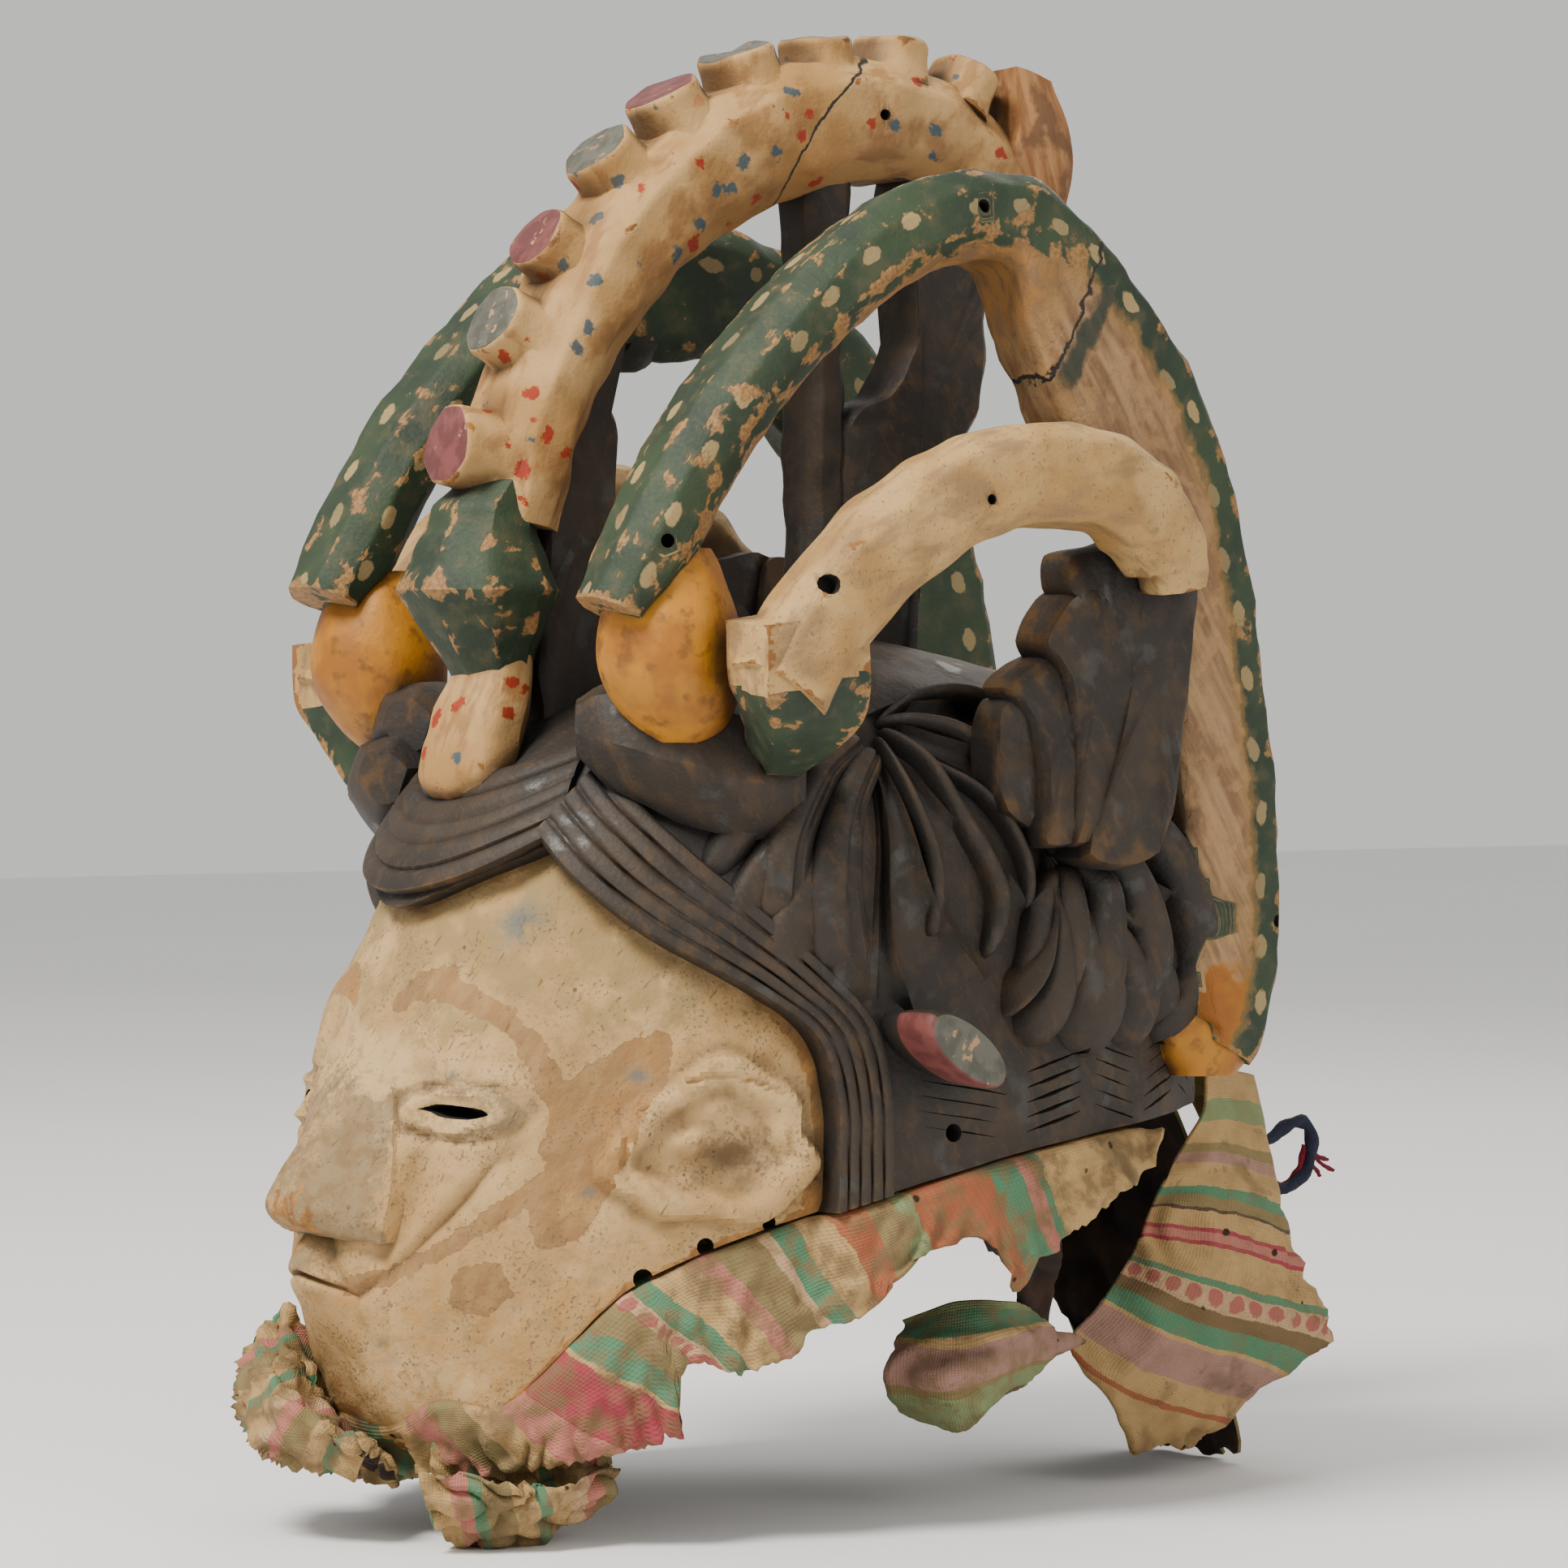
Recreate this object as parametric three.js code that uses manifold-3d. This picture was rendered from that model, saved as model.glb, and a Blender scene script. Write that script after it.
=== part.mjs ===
// Helmet mask of a maiden spirit: a hollow carved head with an openwork crest, and its cloth collar.
// Millimetres, +Z up. The mask faces -Y and its left side, nearest the viewer, is +X.
// The origin is moved at the end to the middle of the underside of the whole object.

import * as THREE from 'three';
import Module from 'manifold-3d';

const wasm = await Module();
wasm.setup();

// Head, read at heights from the chin to the crown: half width, depth in front, depth behind.
const HEAD_Z = [30, 46, 55, 67, 89, 110, 130, 150, 170, 190, 210, 233, 250, 270, 290, 305, 314];
const HEAD_SIDE = [97, 99, 100, 100, 100, 100, 101, 101, 101, 100, 99, 97, 94, 86, 70, 46, 14];
const HEAD_FRONT = [146, 158, 168, 175, 184, 188, 187, 184, 179, 171, 162, 151, 140, 124, 97, 62, 18];
const HEAD_REAR = [140, 140, 140, 140, 140, 141, 143, 146, 149, 151, 152, 150, 146, 135, 112, 74, 22];
const HEAD_SQUARENESS = 2.25;
const HEAD_COLUMNS = 28;
const HAIR_DEPTH = 8;
const WALL = 16;
const CAVITY_TOP = 284;

// The lower rim climbs from the chin to the nape: y and z of its edge.
const RIM = [[-230, 44], [-168, 45], [-160, 54], [-152, 66], [-137, 87], [-122, 104], [-98, 116], [-60, 128],
  [0, 142], [50, 150], [110, 155], [200, 160]];

// Edge of the bare face on the side view, y and z, from the temple corner down behind the ear.
const HAIRLINE_SIDE = [[-113, 253], [-104, 233], [-83, 212], [-66, 195], [-56, 182], [-50, 167], [-50, 145], [-58, 122]];
// Edge of the bare face seen from the front, x and z: the hair tongue hangs to its lowest in the middle.
const TONGUE_EDGE = [[-54, 253], [-40, 245], [-24, 237], [-8, 231], [8, 231], [24, 237], [40, 245], [54, 253]];

// Crest: x, y, z of the middle of its outer face, then width and depth.
const CREST = [
  [0, -130, 362, 38, 30], [0, -123, 398, 42, 32], [0, -109, 430, 43, 33], [0, -89, 462, 44, 36],
  [0, -63, 490, 44, 40], [0, -30, 512, 44, 44], [0, 2, 523, 44, 45], [0, 35, 525, 44, 42],
  [0, 66, 518, 42, 38], [0, 92, 500, 38, 34], [0, 104, 484, 34, 30]];
// Knobs along the crest: y and z of the foot, then length along the crest, width and height.
const KNOBS = [
  [-126, 384, 29, 30, 14], [-111, 424, 27, 30, 12], [-94, 452, 25, 27, 12], [-71, 481, 27, 30, 12],
  [-46, 500, 27, 32, 13], [-17, 515, 27, 32, 12], [14, 523, 26, 30, 10], [45, 524, 26, 32, 10], [74, 515, 24, 32, 11]];

// Side arches over the head, near side: x, y, z of the outer face, width, depth, corner cut.
const GREEN_NEAR = [
  [87, -141, 334, 30, 22, 8], [88, -132, 352, 34, 27, 8], [88, -113, 384, 35, 27, 8], [88, -90, 413, 35, 27, 8],
  [88, -62, 441, 35, 28, 8], [88, -34, 463, 35, 29, 8], [88, -8, 475, 35, 30, 8], [88, 16, 479, 34, 31, 7],
  [89, 38, 475, 32, 36, 6], [90, 60, 460, 30, 48, 5], [91, 84, 435, 27, 58, 4], [91, 108, 403, 25, 58, 4],
  [91, 125, 360, 24, 50, 4], [91, 135, 305, 24, 46, 4], [91, 141, 260, 24, 46, 4], [91, 142, 218, 24, 44, 4],
  [91, 137, 184, 24, 34, 5], [90, 132, 172, 22, 26, 5]];
// The far green arch was carved a little longer and deeper than the near one.
const GREEN_FAR = GREEN_NEAR.map(([x, y, z, w, d, cut]) => [-x, y < 0 ? y - 4 : y * 1.18, z + (y < 0 ? 5 : -6), w,
  Math.max(Math.min(d, 48), 62 - Math.abs(y + 10) * 0.42), cut]);
// Beige outer arches, near side: the same six numbers.
const BEIGE_NEAR = [
  [134, -110, 312, 28, 32, 7], [134, -96, 333, 29, 33, 7], [134, -76, 354, 30, 33, 7], [134, -52, 373, 30, 34, 7],
  [134, -28, 385, 30, 34, 7], [134, 2, 392, 30, 34, 7], [134, 36, 389, 30, 33, 7], [132, 62, 377, 28, 33, 7],
  [129, 80, 356, 24, 30, 6], [127, 84, 340, 18, 22, 5]];

const CLOTH = 5;
const GAP = 5;
const FLOOR = 20;

// A table of rows is read as a smooth curve through all its columns.
function spline(rows, steps) {
  const out = [];
  const spans = rows.length - 1;
  for (let k = 0; k <= steps; k++) {
    const s = k * spans / steps;
    const i = Math.min(Math.floor(s), spans - 1);
    const t = s - i;
    const a = rows[Math.max(i - 1, 0)];
    const b = rows[i];
    const c = rows[i + 1];
    const d = rows[Math.min(i + 2, spans)];
    out.push(b.map((v, n) => 0.5 * (2 * v + (c[n] - a[n]) * t
      + (2 * a[n] - 5 * v + 4 * c[n] - d[n]) * t * t + (3 * v - a[n] - 3 * c[n] + d[n]) * t * t * t)));
  }
  return out;
}

// Value of a profile at any height, smooth between the stations of the head.
function profile(table, z) {
  const last = HEAD_Z.length - 1;
  const h = Math.min(Math.max(z, HEAD_Z[0]), HEAD_Z[last]);
  let i = 0;
  while (i < last - 1 && HEAD_Z[i + 1] < h) {
    i += 1;
  }
  const span = HEAD_Z[i + 1] - HEAD_Z[i];
  const t = (h - HEAD_Z[i]) / span;
  const rise = (j) => (j <= 0 || j >= last)
    ? (table[Math.min(j + 1, last)] - table[Math.max(j - 1, 0)]) / (HEAD_Z[Math.min(j + 1, last)] - HEAD_Z[Math.max(j - 1, 0)])
    : (table[j + 1] - table[j - 1]) / (HEAD_Z[j + 1] - HEAD_Z[j - 1]);
  const m0 = rise(i) * span;
  const m1 = rise(i + 1) * span;
  return (2 * t ** 3 - 3 * t * t + 1) * table[i] + (t ** 3 - 2 * t * t + t) * m0
    + (3 * t * t - 2 * t ** 3) * table[i + 1] + (t ** 3 - t * t) * m1;
}

const signedPower = (v, p) => Math.sign(v) * Math.abs(v) ** p;

// Point of the head's skin: angle 0 in front, 90 at the near side, 180 behind; lift moves it outwards.
function skin(degrees, z, lift = 0) {
  const a = degrees * Math.PI / 180;
  const depth = Math.cos(a) > 0 ? profile(HEAD_FRONT, z) : profile(HEAD_REAR, z);
  const side = profile(HEAD_SIDE, z);
  const x = side * signedPower(Math.sin(a), 2 / HEAD_SQUARENESS);
  const y = -depth * signedPower(Math.cos(a), 2 / HEAD_SQUARENESS);
  const flat = Math.hypot(x / side, y / depth) || 1;
  const out = new THREE.Vector3(x / side / side / flat, y / depth / depth / flat, 0).normalize();
  const slope = (profile(HEAD_SIDE, z + 3) - profile(HEAD_SIDE, z - 3)) / 6;
  out.z = Math.min(Math.max(-slope, -0.6), 4);
  out.normalize();
  return new THREE.Vector3(x, y, z).addScaledVector(out, lift);
}

// Closed rings of points, joined in order and capped at both ends.
function loft(rings) {
  const n = rings[0].length;
  const verts = [];
  const tris = [];
  rings.forEach((ring) => ring.forEach((p) => verts.push(p.x, p.y, p.z)));
  for (let i = 0; i + 1 < rings.length; i++) {
    for (let j = 0; j < n; j++) {
      const a = i * n + j;
      const b = i * n + (j + 1) % n;
      tris.push(a, b, b + n, a, b + n, a + n);
    }
  }
  [0, rings.length - 1].forEach((i) => {
    const middle = new THREE.Vector3();
    rings[i].forEach((p) => middle.addScaledVector(p, 1 / n));
    const m = verts.length / 3;
    verts.push(middle.x, middle.y, middle.z);
    for (let j = 0; j < n; j++) {
      const a = i * n + j;
      const b = i * n + (j + 1) % n;
      tris.push(...(i === 0 ? [m, b, a] : [m, a, b]));
    }
  });
  return solid(verts, tris);
}

// Watertight body of the mesh; faces are turned outwards when they run the other way.
function solid(verts, tris) {
  let volume = 0;
  const p = (i) => new THREE.Vector3(verts[3 * i], verts[3 * i + 1], verts[3 * i + 2]);
  for (let t = 0; t < tris.length; t += 3) {
    volume += p(tris[t]).dot(p(tris[t + 1]).cross(p(tris[t + 2])));
  }
  const turned = [...tris];
  if (volume < 0) {
    for (let t = 0; t < turned.length; t += 3) {
      [turned[t], turned[t + 1]] = [turned[t + 1], turned[t]];
    }
  }
  return new wasm.Manifold(new wasm.Mesh({
    numProp: 3,
    vertProperties: new Float32Array(verts),
    triVerts: new Uint32Array(turned)
  }));
}

// Ring of the head at one height, grown or shrunk all round.
function headRing(z, grow, columns = HEAD_COLUMNS) {
  const ring = [];
  const side = Math.max(profile(HEAD_SIDE, z) + grow, 2);
  const front = Math.max(profile(HEAD_FRONT, z) + grow, 2);
  const rear = Math.max(profile(HEAD_REAR, z) + grow, 2);
  for (let j = 0; j < columns; j++) {
    const a = 2 * Math.PI * j / columns;
    const depth = Math.cos(a) > 0 ? front : rear;
    ring.push(new THREE.Vector3(side * signedPower(Math.sin(a), 2 / HEAD_SQUARENESS),
      -depth * signedPower(Math.cos(a), 2 / HEAD_SQUARENESS), z));
  }
  return ring;
}

// Prism with its outline in two axes, run along the third one: 0 for x, 1 for y.
function prism(drawn, axis, from, to) {
  const flat = drawn.map(([p, z]) => new THREE.Vector2(p, z));
  const outline = THREE.ShapeUtils.area(flat) < 0 ? flat.reverse() : flat;
  const verts = [];
  const tris = [];
  [from, to].forEach((v) => outline.forEach((q) => verts.push(...(axis === 0 ? [v, q.x, q.y] : [q.x, v, q.y]))));
  const n = outline.length;
  THREE.ShapeUtils.triangulateShape(outline, []).forEach(([p, q, r]) => tris.push(p, r, q, p + n, q + n, r + n));
  for (let j = 0; j < n; j++) {
    const k = (j + 1) % n;
    tris.push(j, k, k + n, j, k + n, j + n);
  }
  return solid(verts, tris);
}

// Bar along a path of rows x, y, z, width, depth, corner cut; the path is the middle of its outer face.
function bar(rows, steps, lean = 0) {
  const path = spline(rows, steps);
  const rings = path.map((row, i) => {
    const before = path[Math.max(i - 1, 0)];
    const after = path[Math.min(i + 1, path.length - 1)];
    const along = new THREE.Vector3(after[0] - before[0], after[1] - before[1], after[2] - before[2]).normalize();
    const across = new THREE.Vector3(1, 0, 0).addScaledVector(along, -along.x).normalize().applyAxisAngle(along, lean);
    const out = new THREE.Vector3().crossVectors(across, along);
    const w = row[3] / 2;
    const d = row[4];
    const c = row[5] ?? 7;
    const corners = [[-w, -c], [-w + c, 0], [w - c, 0], [w, -c], [w, c - d], [w - c, -d], [c - w, -d], [-w, c - d]];
    return corners.map(([u, v]) => new THREE.Vector3(row[0], row[1], row[2]).addScaledVector(across, u).addScaledVector(out, v));
  });
  return loft(rings);
}

// Round or faceted body: rows x, y, z, half width in x, half width in y.
function turned(rows, sides, spin = 0) {
  return loft(rows.map(([x, y, z, a, b]) => Array.from({ length: sides }, (_, j) => {
    const t = 2 * Math.PI * (j + spin) / sides;
    return new THREE.Vector3(x + a * Math.cos(t), y + b * Math.sin(t), z);
  })));
}

// Plate standing upright: outline in y and z, between two values of x at foot and top.
function plate(outline, x0, x1) {
  return prism(outline, 0, x0, x1);
}

// Ridge lying on the skin: rows of angle, height, half width and lift.
function ridge(rows, steps, foot = -4) {
  const path = spline(rows, steps);
  return loft(path.map(([a, z, w, h], i) => {
    const p0 = path[Math.max(i - 1, 0)];
    const p1 = path[Math.min(i + 1, path.length - 1)];
    const along = skin(p1[0], p1[1]).sub(skin(p0[0], p0[1])).normalize();
    const base = skin(a, z, foot);
    const top = skin(a, z, h);
    const out = top.clone().sub(base).normalize();
    const across = new THREE.Vector3().crossVectors(out, along).normalize();
    return [base.clone().addScaledVector(across, -w), base.clone().addScaledVector(across, w),
      top.clone().addScaledVector(across, w * 0.35), top.clone().addScaledVector(across, -w * 0.35)];
  }));
}

// Closed slab between two grids of points, one for each face.
function slab(top, under) {
  const verts = [];
  const tris = [];
  const rows = top.length;
  const cols = top[0].length;
  top.forEach((line) => line.forEach((p) => verts.push(...p)));
  under.forEach((line) => line.forEach((p) => verts.push(...p)));
  const T = (i, j) => i * cols + j;
  const B = (i, j) => rows * cols + i * cols + j;
  for (let i = 0; i + 1 < rows; i++) {
    for (let j = 0; j + 1 < cols; j++) {
      tris.push(T(i, j), T(i + 1, j), T(i + 1, j + 1), T(i, j), T(i + 1, j + 1), T(i, j + 1));
      tris.push(B(i, j), B(i + 1, j + 1), B(i + 1, j), B(i, j), B(i, j + 1), B(i + 1, j + 1));
    }
    tris.push(T(i, 0), B(i, 0), B(i + 1, 0), T(i, 0), B(i + 1, 0), T(i + 1, 0));
    tris.push(T(i, cols - 1), B(i + 1, cols - 1), B(i, cols - 1), T(i, cols - 1), T(i + 1, cols - 1), B(i + 1, cols - 1));
  }
  for (let j = 0; j + 1 < cols; j++) {
    tris.push(T(0, j), B(0, j + 1), B(0, j), T(0, j), T(0, j + 1), B(0, j + 1));
    tris.push(T(rows - 1, j), B(rows - 1, j), B(rows - 1, j + 1), T(rows - 1, j), B(rows - 1, j + 1), T(rows - 1, j + 1));
  }
  return solid(verts, tris);
}

// Carved patch on the skin: a grid of spots (angle, height, lift) with its underside sunk into the wood.
function patch(grid, inset = -4) {
  return slab(grid.map((line) => line.map(([a, z, h]) => skin(a, z, h))), grid.map((line) => line.map(([a, z]) => skin(a, z, inset))));
}

// Fan of hair: blades spread from a centre on the skin, each one lifted along one edge like a saw tooth.
function fan({ angle, z, from, to, blades, reach, lift, core }) {
  const spots = [];
  for (let b = 0; b < blades; b++) {
    spots.push([b + 0.02, 0.3], [b + 0.94, 1]);
  }
  return patch(spots.map(([s, saw]) => {
    const t = s / blades;
    const turn = (from + (to - from) * t) * Math.PI / 180;
    return [[0.12, 0.55], [0.5, 1], [0.85, 0.85], [1, 0.15]].map(([r, dome]) => [
      angle + Math.sin(turn) * reach(t) * r / 1.95, z + Math.cos(turn) * reach(t) * r, (core + lift * saw) * dome]);
  }), -5);
}

const mirror = (body) => body.mirror([1, 0, 0]);
const joined = (bodies) => bodies.reduce((sum, body) => sum.add(body));

// The head: skin, hair layer outside the bare face, and everything carved on them.
const heights = [30, 46, 58, 72, 90, 110, 134, 160, 186, 210, 232, 252, 270, 286, 300, 314];
const skull = loft(heights.map((z) => headRing(z, 0)));
const hairBody = loft([80, 110, 134, 160, 186, 210, 232, 252, 270, 286, 300, 314].map((z) => headRing(z, HAIR_DEPTH).map((p) => {
  p.z = z + Math.max(z - 260, 0) * 0.12;
  return p;
})));
const faceSide = prism([[-240, 10], [-240, 262], [-113, 262], ...HAIRLINE_SIDE, [-58, 10]], 0, -160, 160);
const faceFront = prism([[-170, 10], [-170, 253], ...TONGUE_EDGE, [170, 253], [170, 10]], 1, -260, 60);
const hair = hairBody.subtract(faceSide.intersect(faceFront));
const underRim = prism([...RIM, [200, -60], [-230, -60]], 0, -200, 200);
const cavity = loft([0, 60, 110, 160, 210, 240, 264, CAVITY_TOP].map((z) => headRing(z, -WALL - Math.max(z - 250, 0) * 0.25, 22)));

// Nose: a long wedge with a broad ridge and flat sides, its end cut square.
const nose = loft([
  [[-10, -158, 200], [10, -158, 200], [9, -168, 199], [4, -171, 198], [-4, -171, 198], [-9, -168, 199]],
  [[-24, -160, 172], [24, -160, 172], [23, -175, 172], [8, -184, 171], [-8, -184, 171], [-23, -175, 172]],
  [[-31, -160, 146], [31, -160, 146], [30, -179, 146], [13, -197, 148], [-13, -197, 148], [-30, -179, 146]],
  [[-32, -162, 128], [32, -162, 128], [31, -181, 128], [17, -200, 132], [-16, -201, 133], [-31, -181, 128]],
  [[-31, -162, 119], [31, -162, 119], [29, -181, 119], [14, -193, 120], [-13, -193, 120], [-29, -181, 119]]
].map((ring) => ring.map((p) => new THREE.Vector3(...p))));

// Mouth: a low swelling with a slit across it.
const mouth = turned([[0, -170, 116, 24, 16], [0, -172, 108, 32, 25], [0, -172, 98, 33, 27], [0, -170, 86, 28, 23],
  [0, -166, 78, 18, 14]], 14);
const mouthSlit = prism([[-210, 99], [-210, 95.5], [-188, 97]], 0, -24, 24);

// Ear: a raised C with a hollow in its middle.
const ear = ridge([[60, 178, 5, 4], [66, 177, 6, 5], [71, 168, 6, 5], [73, 152, 6, 5], [72, 136, 6, 5],
  [67, 126, 6, 4], [61, 125, 5, 3]], 8);
const earPad = loft([[-5, 14], [3, 11], [4, 4]].map(([h, r]) => Array.from({ length: 8 }, (_, j) => {
  const t = 2 * Math.PI * j / 8;
  return skin(63 + r * Math.cos(t) / 1.9, 152 + r * 1.1 * Math.sin(t), h);
})));

// Eye: slit cut right through the wall, with a thin raised lid above and below.
const eyeSlit = loft([
  [[35, -200, 164.5], [39, -200, 166.6], [57, -196, 165.6], [60, -196, 163.5], [56, -196, 161.5], [39, -200, 162]],
  [[33, -110, 164.5], [37, -110, 167], [56, -110, 166], [59, -110, 163.5], [55, -110, 161], [37, -110, 161.5]]
].map((ring) => ring.map((p) => new THREE.Vector3(...p))));
const lids = joined([
  ridge([[17, 165, 2.4, 1.2], [20, 169, 2.6, 2.4], [25, 170, 2.6, 2.4], [31, 167, 2.4, 1.2]], 5),
  ridge([[17, 162, 2.4, 1.2], [20, 158.5, 2.6, 2.4], [25, 158, 2.6, 2.4], [31, 160.5, 2.4, 1.2]], 5)]);

// Grooved band of hair beside the face: ridges running from the temple down to the rim.
const bandPath = [[29, 262, 21], [38, 250, 21], [50, 233, 20], [61, 218, 19], [71, 202, 17], [77, 186, 13], [78, 166, 11],
  [78, 146, 11], [78, 128, 11]];
const band = patch(bandPath.map(([a, z, wide], i) => Array.from({ length: 11 }, (_, k) => {
  const s = (k / 10 - 0.5) * wide;
  const turn = Math.min(i, 5) / 5;
  return [a + s * (0.28 + turn * 0.16), z + s * (0.9 - turn * 0.75), k % 2 === 0 ? 8.2 : 11.8];
})));

// Nested tongues of hair over the forehead.
const tongue = patch([-1, -0.6, -0.2, 0.2, 0.6, 1].map((s) => Array.from({ length: 11 }, (_, k) => [
  s * (28 - k * 0.25), 253 + k * 2.6 - (1 - Math.abs(s) ** 1.6) * 20, k % 2 === 0 ? 8.2 : 11.6])));

// Faceted roll of hair from the temple back over the ear.
const roll = loft([
  [54, -122, 292, 9, 10], [62, -112, 290, 18, 20], [78, -92, 284, 24, 26], [90, -74, 278, 20, 24], [96, -58, 274, 10, 14]
].map(([x, y, z, a, b]) => [[1, -0.2], [0.72, 0.62], [-0.2, 0.8], [-1, 0.2], [-0.6, -0.9], [0.25, -1]]
  .map(([u, v]) => new THREE.Vector3(x + u * a * 0.8, y - u * a * 0.6, z + v * b))));

const fanFront = fan({ angle: 80, z: 288, from: 104, to: 236, blades: 8, lift: 7, core: 10,
  reach: (t) => 62 + 46 * Math.sin(Math.PI * Math.min(1, t * 1.1 + 0.04)) });
const fanRear = fan({ angle: 104, z: 246, from: 52, to: 200, blades: 7, lift: 8, core: 17,
  reach: (t) => 50 + 24 * Math.sin(Math.PI * t) });

// Hatched cuts in V shapes along the hair above the rear rim.
const cuts = patch(Array.from({ length: 33 }, (_, k) => {
  const a = 84 + k * 3;
  const sway = [0, 1, 2, 1][Math.floor(k / 2) % 4] * 1.2;
  const low = 146 + (a - 84) * 0.2;
  return [[a, low, k % 2 ? 10.6 : 8.2], [a + sway, low + 13, k % 2 ? 11 : 8.2], [a + sway * 2, low + 26, 7.8]];
}));

// Oval knob behind the ear, long side sloping down to the rear.
const earKnob = loft([[96, 0.7], [118, 0.95], [134, 1], [137, 0.9]].map(([x, s]) => Array.from({ length: 12 }, (_, j) => {
  const t = 2 * Math.PI * j / 12;
  const u = 21 * s * Math.cos(t);
  const v = 9.5 * s * Math.sin(t);
  return new THREE.Vector3(x - u * 0.12, -21 + u * 0.86 + v * 0.2, 184 - u * 0.48 + v * 0.9);
})));

// Standing comb of four curved blades with a flat bar behind them.
const comb = joined([
  plate([[40, 246], [70, 246], [90, 330], [88, 348], [64, 350], [56, 300]], 102, 124),
  plate([[44, 250], [62, 262], [74, 345], [50, 352], [34, 349], [33, 338], [44, 318]], 104, 120),
  plate([[36, 250], [58, 262], [62, 318], [42, 338], [32, 334], [24, 320], [34, 296]], 103, 124),
  plate([[26, 250], [52, 256], [48, 300], [34, 316], [22, 312], [12, 304], [22, 280]], 102, 120),
  plate([[14, 262], [44, 250], [38, 284], [26, 300], [14, 300], [10, 292]], 98, 116)]);

// Green leg under the front of the beige arch, slanting in and back to the hair.
const leg = (reach) => loft([
  [[121, -108, 326], [147, -109, 324], [147, -70, 330], [121, -70, 332]],
  [[117, -104, 306], [146, -108, 303], [147, -68, 306], [115, -68, 310]],
  [[106, -90 - reach * 0.4, 290], [134, -98 - reach * 0.4, 288], [138, -68, 290], [104, -62, 292]],
  [[84, -72 - reach, 272 - reach * 0.7], [112, -84 - reach, 276 - reach * 0.7], [112, -70, 276 - reach * 0.7],
    [84, -56, 272 - reach * 0.7]]
].map((ring) => ring.map((p) => new THREE.Vector3(...p))));

// Yellow rounded supports, in front under the arch and behind at the foot of the board.
const frontPad = turned([[86, -100, 286, 12, 12], [87, -104, 295, 19, 18], [88, -107, 309, 24, 24], [88, -108, 324, 23, 24],
  [88, -108, 340, 18, 19], [88, -106, 350, 12, 12]], 10, 0.5);
const rearPad = turned([[88, 118, 168, 10, 13], [88, 118, 178, 14, 20], [86, 114, 198, 14, 26], [84, 112, 222, 14, 28],
  [82, 114, 246, 12, 22], [82, 118, 258, 8, 12]], 10, 0.5);

const green = bar(GREEN_NEAR, 19, -0.12);
const greenFar = bar(GREEN_FAR, 19, 0.12);
const beige = bar(BEIGE_NEAR, 12, -0.1);
const sideParts = [comb, roll, fanFront, fanRear, earKnob, rearPad];
const near = joined([green, beige, leg(0), frontPad, ...sideParts]);
const far = joined([greenFar, mirror(joined([beige, leg(16), frontPad]).translate([0, -5, -5])), ...sideParts.map(mirror),
  mirror(roll.translate([0, -10, -18]))]);

// Crest with its knobs, the green bulb and beige stub it stands on, and the dark uprights inside it.
const crest = bar(CREST.map((row) => [...row, 9]), 18);
const knobs = KNOBS.map(([y, z, length, width, height]) => {
  const line = spline(CREST, 60);
  let best = 0;
  line.forEach((row, i) => {
    best = Math.hypot(row[1] - y, row[2] - z) < Math.hypot(line[best][1] - y, line[best][2] - z) ? i : best;
  });
  const along = new THREE.Vector3(0, line[best + 1][1] - line[best - 1][1], line[best + 1][2] - line[best - 1][2]).normalize();
  const out = new THREE.Vector3(0, -along.z, along.y);
  return loft([[-6, 1.15], [height, 0.98]].map(([h, s]) =>
    Array.from({ length: 8 }, (_, j) => {
      const t = 2 * Math.PI * (j + 0.5) / 8;
      return new THREE.Vector3(0, y, z).addScaledVector(out, h).addScaledVector(along, length / 2 * s * Math.cos(t))
        .add(new THREE.Vector3(width / 2 * s * Math.sin(t), 0, 0));
    })));
});
const block = loft([
  [[-15, 86, 484], [15, 88, 482], [15, 112, 474], [-15, 112, 474]],
  [[-17, 90, 506], [17, 92, 506], [17, 116, 496], [-17, 116, 496]],
  [[-15, 88, 524], [16, 90, 526], [17, 106, 522], [-14, 108, 520]]
].map((ring) => ring.map((p) => new THREE.Vector3(...p))));
const bulb = turned([[0, -116, 376, 17, 14], [0, -124, 366, 19, 17], [0, -126, 356, 21, 20], [0, -127, 337, 29, 28],
  [0, -124, 318, 19, 18], [0, -122, 308, 15, 13]], 8, 0.5);
const stub = turned([[0, -120, 316, 15, 11], [0, -122, 306, 18, 14], [0, -128, 288, 20, 16], [0, -131, 274, 20, 16],
  [0, -130, 266, 16, 12]], 10, 0.5);
const post = bar([[0, 5, 290, 24, 18, 5], [0, 4, 340, 22, 18, 5], [0, 4, 390, 22, 18, 5], [0, 4, 440, 22, 18, 5],
  [0, 2, 496, 28, 22, 5]], 7);
const fin = plate([[14, 290], [46, 292], [52, 344], [64, 380], [80, 404], [82, 440], [88, 492], [48, 497], [50, 440],
  [49, 426], [38, 408], [18, 394]], -11, 11);
const bracket = plate([[-106, 290], [-82, 290], [-78, 350], [-76, 392], [-81, 408], [-68, 444], [-98, 414], [-106, 372]], -11, 11);

let mask = joined([skull, hair, nose, mouth, crest, ...knobs, block, bulb, stub, post, fin, bracket, near, far]);
mask = joined([mask, ear, earPad, mirror(ear), mirror(earPad), lids, mirror(lids)]);
mask = joined([mask, band, mirror(band), tongue, cuts, mirror(cuts)]);
mask = mask.subtract(underRim).subtract(cavity).subtract(mouthSlit).subtract(eyeSlit).subtract(mirror(eyeSlit));
mask = mask.simplify(0.5).decompose().reduce((big, body) => (body.volume() > big.volume() ? body : big));

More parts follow.
